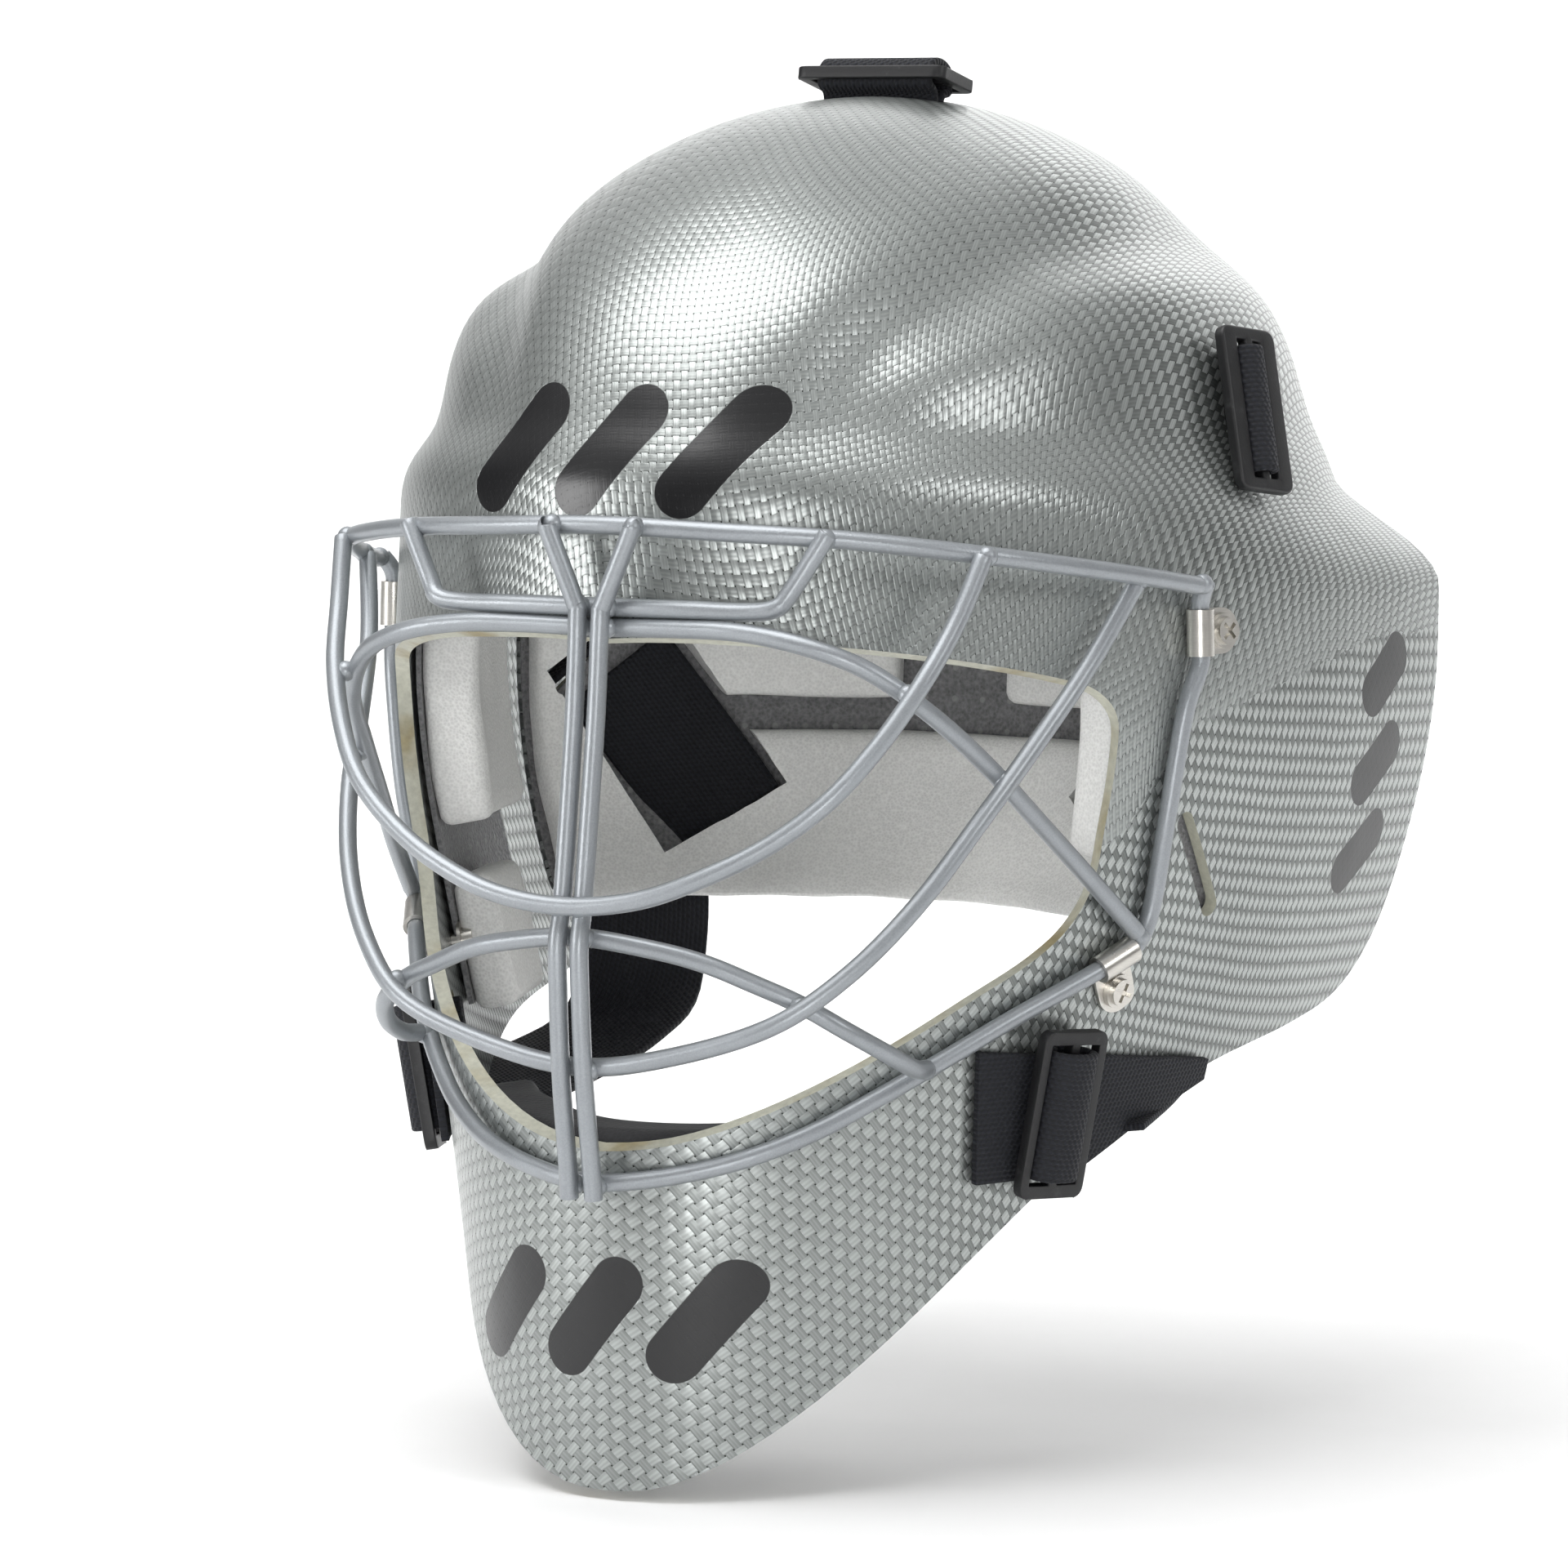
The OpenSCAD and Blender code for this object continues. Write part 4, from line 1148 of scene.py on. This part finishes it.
class MASK_OT_padding(bpy.types.Operator):
    """Cut the foam blocks and lay the felt inside the shell"""

    bl_idname = "mask.padding"
    bl_label = "Padding"

    def execute(self, context):
        self.foam_pad("forehead_foam", (-44, 44), (41, 92), (5.4, 14.2), "forehead_pad")
        self.foam_pad("chin_foam", (-34, 34), (-128, -74), (4.4, 20.2), "chin_pad", "foam_black",
                      "black_foam")
        for side, sign in SIDES:
            lo, hi = (56, 80) if sign > 0 else (-80, -56)
            self.foam_pad("temple_foam_" + side, (lo, hi), (-22, 34), (5.6, 18.4), "temple_pad_" + side)
            lo, hi = (56, 76) if sign > 0 else (-76, -56)
            self.foam_pad("cheek_foam_" + side, (lo, hi), (-64, -34), (5.6, 15.4), "cheek_pad_" + side)
            self.felt(side, sign)
        self.crown()
        return {"FINISHED"}

    @staticmethod
    def foam_pad(name, angles, heights, depths, node, finish="foam", slot="white_foam"):
        pad = pad_on_skin(name, angles, heights, depths, FOAM_ROUND)
        if node == "chin_pad":
            outline = spline([(y, z + 7) for y, z in SIDE_OUTLINE], 3).tolist()
            boolean(pad, prism_tool("outline_tool", outline + [(-200, 167), (-200, -144)]), "INTERSECT")
        roughen(pad, 0.0006, 60, len(name))
        shade(pad, 60)
        dress(pad, "mask", slot, FINISHES[finish], node)

    @staticmethod
    def felt(side, sign):
        angles, heights = (56, 90), (-62, 36)

        def place(u, v):
            turn = (angles[0] + (angles[1] - angles[0]) * u) * sign
            return under_skin(turn, heights[0] + 98 * v, 4.2 + 0 * u)

        felt = bent_grid("felt_" + side, 50, 80, place)
        layer = felt.data.uv_layers[0]
        for loop in layer.data:
            loop.uv = (loop.uv[0] * 0.062, loop.uv[1] * 0.098)
        if sign > 0:
            turn_faces(felt)
        modify(felt, "SOLIDIFY", thickness=0.0011, offset=1)
        shade(felt, 50)
        dress(felt, "mask", "loop_felt", FINISHES["felt"], "lining_" + side)

    @staticmethod
    def crown():
        def place(u, v, w):
            x = (u - 0.5) * CROWN_FOAM[0]
            y = (v - 1) * CROWN_FOAM[1]
            away = (x / DOME[0]) ** 2 + ((y - DOME_Y) / DOME[1]) ** 2
            top = DOME_Z + DOME[2] * np.sqrt(np.clip(1 - away, 0.05, 1))
            out = np.stack([x / DOME[0] ** 2, (y - DOME_Y) / DOME[1] ** 2, (top - DOME_Z) / DOME[2] ** 2],
                           axis=-1)
            return np.stack([x, y, top], axis=-1) - unit(out) * (5.5 + CROWN_FOAM[2] * w)[:, None]

        pad = bent_block("crown_foam", CROWN_FOAM, (44, 24, 5), FOAM_ROUND, place)
        roughen(pad, 0.0006, 60, 7)
        shade(pad, 60)
        dress(pad, "mask", "white_foam", FINISHES["foam"], "crown_pad")


# ---------------------------------------------------------------- the back plate


BOWL_Y = -52
BOWL_HALF = 57


def bowl(turn, z, grow):
    """A point of the back plate's bowl in mm: angle from the rear, height, distance out of its foam face."""
    turn, z, grow = np.broadcast_arrays(*(np.asarray(value, float) for value in (turn, z, grow)))
    r = (102 + grow) * np.sqrt(np.clip(1 - ((z - 15) / (90 + grow)) ** 2, 0.01, 1))
    t = np.radians(turn)
    return np.stack([r * np.sin(t) * 0.98, BOWL_Y + r * np.cos(t), z], axis=-1)


TAB_RUN = [(45, 11), (41.5, 2), (38, -7), (34.5, -16), (31, -25)]
FOAM_BACK = 9.3


def tab_frame(sign):
    """The plate's strap slot: its long way along X, its depth along Z."""
    spot = Matrix.Translation(Vector(bowl(47.5 * sign, 17, 10)) * MM)
    turn = Matrix.Rotation(math.radians(-45 * sign), 4, "Z") @ Matrix.Rotation(math.radians(90), 4, "X")
    return spot @ turn @ Matrix.Rotation(math.radians(-42 * sign), 4, "Z")


def bowl_slab(name, turns, heights, grows, radius, step=2.6):
    """A slab of the bowl between two angles, two heights and two distances out, its edges rounded."""
    lo, hi = turns
    tall = heights[1] - heights[0]
    wide = math.radians(hi - lo) * 105
    thick = grows[1] - grows[0]
    cuts = (int(wide / step), int(tall / step), max(2, int(thick / 1.6)))

    def place(u, v, w):
        return bowl(lo + (hi - lo) * u, heights[0] + tall * v, grows[1] - thick * w)

    return bent_block(name, (wide, tall, thick), cuts, radius, place)


class MASK_OT_back_plate(bpy.types.Operator):
    """Mould the back plate, line it and lay its foam and strap ends"""

    bl_idname = "mask.back_plate"
    bl_label = "Back plate"

    def execute(self, context):
        sizes = context.scene.mask_sizes
        plate = bowl_slab("plate", (-BOWL_HALF, BOWL_HALF), (-40, 84), (11.4, 13.9), 1.2)
        plate.data.materials.append(FINISHES["laminate"])
        lining = bowl_slab("plate_felt", (-BOWL_HALF, BOWL_HALF), (-39, 83), (10.1, 11.3), 0.5)
        for sign in (1, -1):
            for piece in (plate, lining):
                tool = slot_tool("slot", SLOT, SLOT_HEIGHT, 0.03, tab_frame(sign), FINISHES["edge"])
                boolean(piece, tool)
        lay_weave(plate)
        mark_outside(plate, [0] * len(plate.data.polygons))
        shade(plate, 35)
        dress(plate, "back_plate", "laminate", None, "back_shell")
        p = coords(lining)
        turn = np.arctan2(p[:, 0], p[:, 1] - BOWL_Y * MM)
        only_uv(lining, "UVMap", np.stack([turn * 0.11, p[:, 2]], axis=-1))
        shade(lining, 40)
        dress(lining, "back_plate", "loop_felt", FINISHES["felt"], "back_lining")
        self.foam_block("plate_foam_lower", (-BOWL_HALF, BOWL_HALF), (-41, -4), "back_pad_lower")
        self.foam_block("plate_foam_upper_left", (8, 48), (4, 60), "back_pad_upper_left")
        self.foam_block("plate_foam_upper_right", (-48, -8), (4, 60), "back_pad_upper_right")
        for side, sign in SIDES:
            run = spline(TAB_RUN, 4)
            path = bowl(run[:, 0] * sign, run[:, 1], FOAM_BACK - 2)
            out = unit(bowl(run[:, 0] * sign, run[:, 1], 1) - bowl(run[:, 0] * sign, run[:, 1], 0))
            ahead = np.gradient(path, axis=0)
            tab = webbing("tab_" + side, path, np.cross(ahead, out), sizes.web_width, sizes.web)
            dress(tab, "back_plate", "elastic", FINISHES["elastic"], "strap_tab_" + side)
        return {"FINISHED"}

    @staticmethod
    def foam_block(name, turns, heights, node):
        pad = bowl_slab(name, turns, heights, (0, FOAM_BACK), FOAM_ROUND, 2.4)
        if "lower" in name:
            for low, high in ((-BOWL_HALF, -47), (47, BOWL_HALF)):
                wing = bowl_slab("wing", (low, high), (-20, 58), (0.3, FOAM_BACK - 0.1), FOAM_ROUND, 2.4)
                boolean(pad, wing, "UNION")
        signs = (1, -1) if "lower" in name else ((1,) if "left" in name else (-1,))
        for sign in signs:
            tool = slot_tool("tab_room", 0.033, 0.004, 0.03, tab_frame(sign))
            room = tab_room(sign)
            boolean(pad, tool)
            boolean(pad, room)
        roughen(pad, 0.0006, 60, len(name))
        shade(pad, 50)
        dress(pad, "back_plate", "white_foam", FINISHES["foam"], node)


def tab_room(sign):
    """A cutter for the room that a strap's sewn end takes in the foam."""
    run = np.vstack([[(48, 20)], spline(TAB_RUN, 2)])
    path = bowl(run[:, 0] * sign, run[:, 1], 4)
    out = unit(bowl(run[:, 0] * sign, run[:, 1], 1) - bowl(run[:, 0] * sign, run[:, 1], 0))
    across = np.cross(np.gradient(path, axis=0), out)
    return webbing("tab_room", path, across, 0.033, 0.022, 0.0001, 4)


# ---------------------------------------------------------------- straps


def strap_paths():
    crown = [(0, 13, 138), (0, 15, 130), (0, 21, 116), (0, 29, 102), (0, 34, 91), (0, 36, 86.5)]
    upper = [(85, 3, 71), (88, 10, 60), (91, 21, 44), (90, 30, 30), (86.5, 32, 21),
             (82, 25.5, 17.2), (79, 21.5, 16)]
    lower = [(73, -37, -80.5), (71, -16, -77.5), (68, 4, -73), (66.5, 16, -66), (66.5, 22, -56),
             (66.5, 24, -44), (68.5, 25.5, -30)]
    lower_across = [(1, 0.2, 0.15), (1, 0.2, 0.15), (1, 0.1, 0.1), (0.9, -0.3, 0), (0.78, -0.62, 0),
                    (0.75, -0.66, 0), (0.75, -0.66, 0)]
    return crown, upper, lower, lower_across


class MASK_OT_straps(bpy.types.Operator):
    """Run the elastic between the shell and the back plate"""

    bl_idname = "mask.straps"
    bl_label = "Straps"

    def execute(self, context):
        sizes = context.scene.mask_sizes
        crown, upper, lower, lower_across = strap_paths()
        path = spline(crown, 4)
        top = webbing("strap_crown", path, [(1, 0, 0)] * len(path), sizes.web_width, sizes.web)
        dress(top, "back_plate", "elastic", FINISHES["elastic"], "strap_top")
        for side, sign in SIDES:
            flip = np.array((sign, 1, 1))
            path = spline(upper, 4)
            share = np.linspace(0, 1, len(path))[:, None]
            across = (1 - share) * (0, 1, 0.5) + share * (-0.79, 0.79, 1.0)
            strap = webbing("strap_high_" + side, path * flip, across * flip, sizes.web_width, sizes.web)
            dress(strap, None, "elastic", FINISHES["elastic"], "strap_upper_" + side)
            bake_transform(strap)
            self.jaw_band(side, sign, sizes)
            path = spline(lower, 4)
            across = spline(lower_across, 4)
            strap = webbing("strap_low_" + side, path * flip, across * flip, sizes.web_width, sizes.web)
            dress(strap, None, "elastic", FINISHES["elastic"], "strap_lower_" + side)
            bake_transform(strap)
        return {"FINISHED"}

    @staticmethod
    def jaw_band(side, sign, sizes):
        """The outer run of the jaw strap, laid on the shell from its hem to the shell's lower edge."""
        def place(u, v):
            angle = 37 + 40 * u
            top = -58 - (angle - 37) * 0.2
            edge = np.interp(angle, [36, 50, 64, 80], [-100, -88, -77, -68.5])
            low = np.maximum(edge - 0.6, -87)
            return under_skin(angle * sign, top + (low - top) * v, -1.8 + 0 * u)

        band = bent_grid("strap_jaw_" + side, 48, 24, place)
        p = coords(band) / MM
        angle = np.arctan2(np.abs(p[:, 0]), DOME_Y - p[:, 1])
        only_uv(band, "web", np.stack([angle * 0.1, p[:, 2] * MM], axis=-1))
        modify(band, "SOLIDIFY", thickness=sizes.web, offset=0)
        outwards(band)
        modify(band, "BEVEL", width=0.0006, segments=3, limit_method="ANGLE", angle_limit=math.radians(50))
        shade(band, 50)
        dress(band, "mask", "elastic", FINISHES["elastic"])


# ---------------------------------------------------------------- stage


def area_light(name, place, aim, size, energy):
    clear_selection()
    bpy.ops.object.light_add(type="AREA", location=place)
    light = bpy.context.object
    light.name = name
    light.rotation_euler = (Vector(aim) - Vector(place)).to_track_quat("-Z", "Y").to_euler()
    light.data.size = size
    light.data.energy = energy


def studio_world():
    """A bright ceiling over dim walls, so that upright faces of the gloss shell stay dark."""
    world = bpy.data.worlds.new("studio")
    world.use_nodes = True
    nodes, links = world.node_tree.nodes, world.node_tree.links
    background = nodes["Background"]
    place = nodes.new("ShaderNodeTexCoord")
    split = nodes.new("ShaderNodeSeparateXYZ")
    ramp = nodes.new("ShaderNodeValToRGB")
    shift = nodes.new("ShaderNodeMapRange")
    shift.inputs["From Min"].default_value = -1
    links.new(place.outputs["Generated"], split.inputs[0])
    links.new(split.outputs[2], shift.inputs["Value"])
    links.new(shift.outputs[0], ramp.inputs[0])
    links.new(ramp.outputs[0], background.inputs[0])
    Finish.set_stops(ramp.color_ramp, [(0.0, (0.6,) * 3), (0.42, (0.45,) * 3), (0.52, (0.10,) * 3),
                                       (0.66, (0.16,) * 3), (0.82, (0.9,) * 3), (1.0, (1.0,) * 3)])
    background.inputs[1].default_value = 0.6
    return world


class MASK_OT_stage(bpy.types.Operator):
    """Set the floor, the lights and the camera"""

    bl_idname = "mask.stage"
    bl_label = "Stage"

    def execute(self, context):
        scene = context.scene

        def sweep(u, v):
            y = -2600 + 6200 * v
            rise = np.clip(y - 1800, 0, None)
            return np.stack([(u - 0.5) * 9000, np.minimum(y, 1800 + rise * 0.35), -153 + rise * 1.6], axis=-1)

        floor = bent_grid("floor", 4, 60, sweep)
        shade(floor, 60)
        finish = Finish("studio_floor")
        grain = finish.noise(40.0, 3.0)
        colour = finish.shade((0.93, 0.93, 0.93), grain * 0.03 + 0.97)
        floor.data.materials.append(finish.surface(colour, 0.9))

        scene.world = studio_world()
        area_light("overhead", (-0.3, -0.45, 1.5), (0, 0, 0.02), 1.3, 22)
        area_light("front_left", (-1.5, -1.7, 0.4), (0, 0, 0), 0.8, 16)
        area_light("front", (0.9, -2.0, -0.05), (0, 0, -0.02), 0.6, 13)
        area_light("right", (1.7, -0.4, 0.8), (0, 0, 0), 0.5, 6)
        area_light("backdrop", (-0.4, 1.0, 1.6), (-0.9, 2.6, 0.3), 1.6, 34)

        azimuth, elevation, distance = math.radians(27), math.radians(5.7), 1.4
        back = Vector((math.sin(azimuth) * math.cos(elevation), -math.cos(azimuth) * math.cos(elevation),
                       math.sin(elevation)))
        aim = Vector((-0.01418, -0.00847, -0.01106))
        clear_selection()
        bpy.ops.object.camera_add(location=aim + back * distance,
                                  rotation=back.to_track_quat("Z", "Y").to_euler())
        camera = bpy.context.object
        camera.name = "camera"
        camera.data.sensor_width = 36
        camera.data.lens = 141.75
        camera.data.dof.use_dof = False
        scene.camera = camera
        scene.view_settings.view_transform = "Standard"
        return {"FINISHED"}


class MASK_PT_panel(bpy.types.Panel):
    """Goalkeeper mask"""

    bl_label = "Goalkeeper mask"
    bl_idname = "MASK_PT_panel"
    bl_space_type = "VIEW_3D"
    bl_region_type = "UI"
    bl_category = "Mask"

    def draw(self, context):
        layout = self.layout
        for group in (context.scene.mask_sizes, context.scene.mask_colours):
            for key in type(group).__annotations__:
                layout.prop(group, key)
        for operator in STEPS:
            layout.operator(operator.bl_idname)


STEPS = (MASK_OT_finishes, MASK_OT_shell, MASK_OT_cage, MASK_OT_hardware, MASK_OT_sliders, MASK_OT_padding,
         MASK_OT_back_plate, MASK_OT_straps, MASK_OT_stage)
CLASSES = (MaskSizes, MaskColours) + STEPS + (MASK_PT_panel,)


def register():
    for cls in CLASSES:
        bpy.utils.register_class(cls)
    bpy.types.Scene.mask_sizes = PointerProperty(type=MaskSizes)
    bpy.types.Scene.mask_colours = PointerProperty(type=MaskColours)


def unregister():
    del bpy.types.Scene.mask_colours
    del bpy.types.Scene.mask_sizes
    for cls in reversed(CLASSES):
        bpy.utils.unregister_class(cls)


def main():
    register()
    bpy.ops.mask.finishes()
    bpy.ops.mask.shell()
    bpy.ops.mask.cage()
    bpy.ops.mask.hardware()
    bpy.ops.mask.sliders()
    bpy.ops.mask.padding()
    bpy.ops.mask.back_plate()
    bpy.ops.mask.straps()
    bpy.ops.mask.stage()


if __name__ == "__main__":
    main()
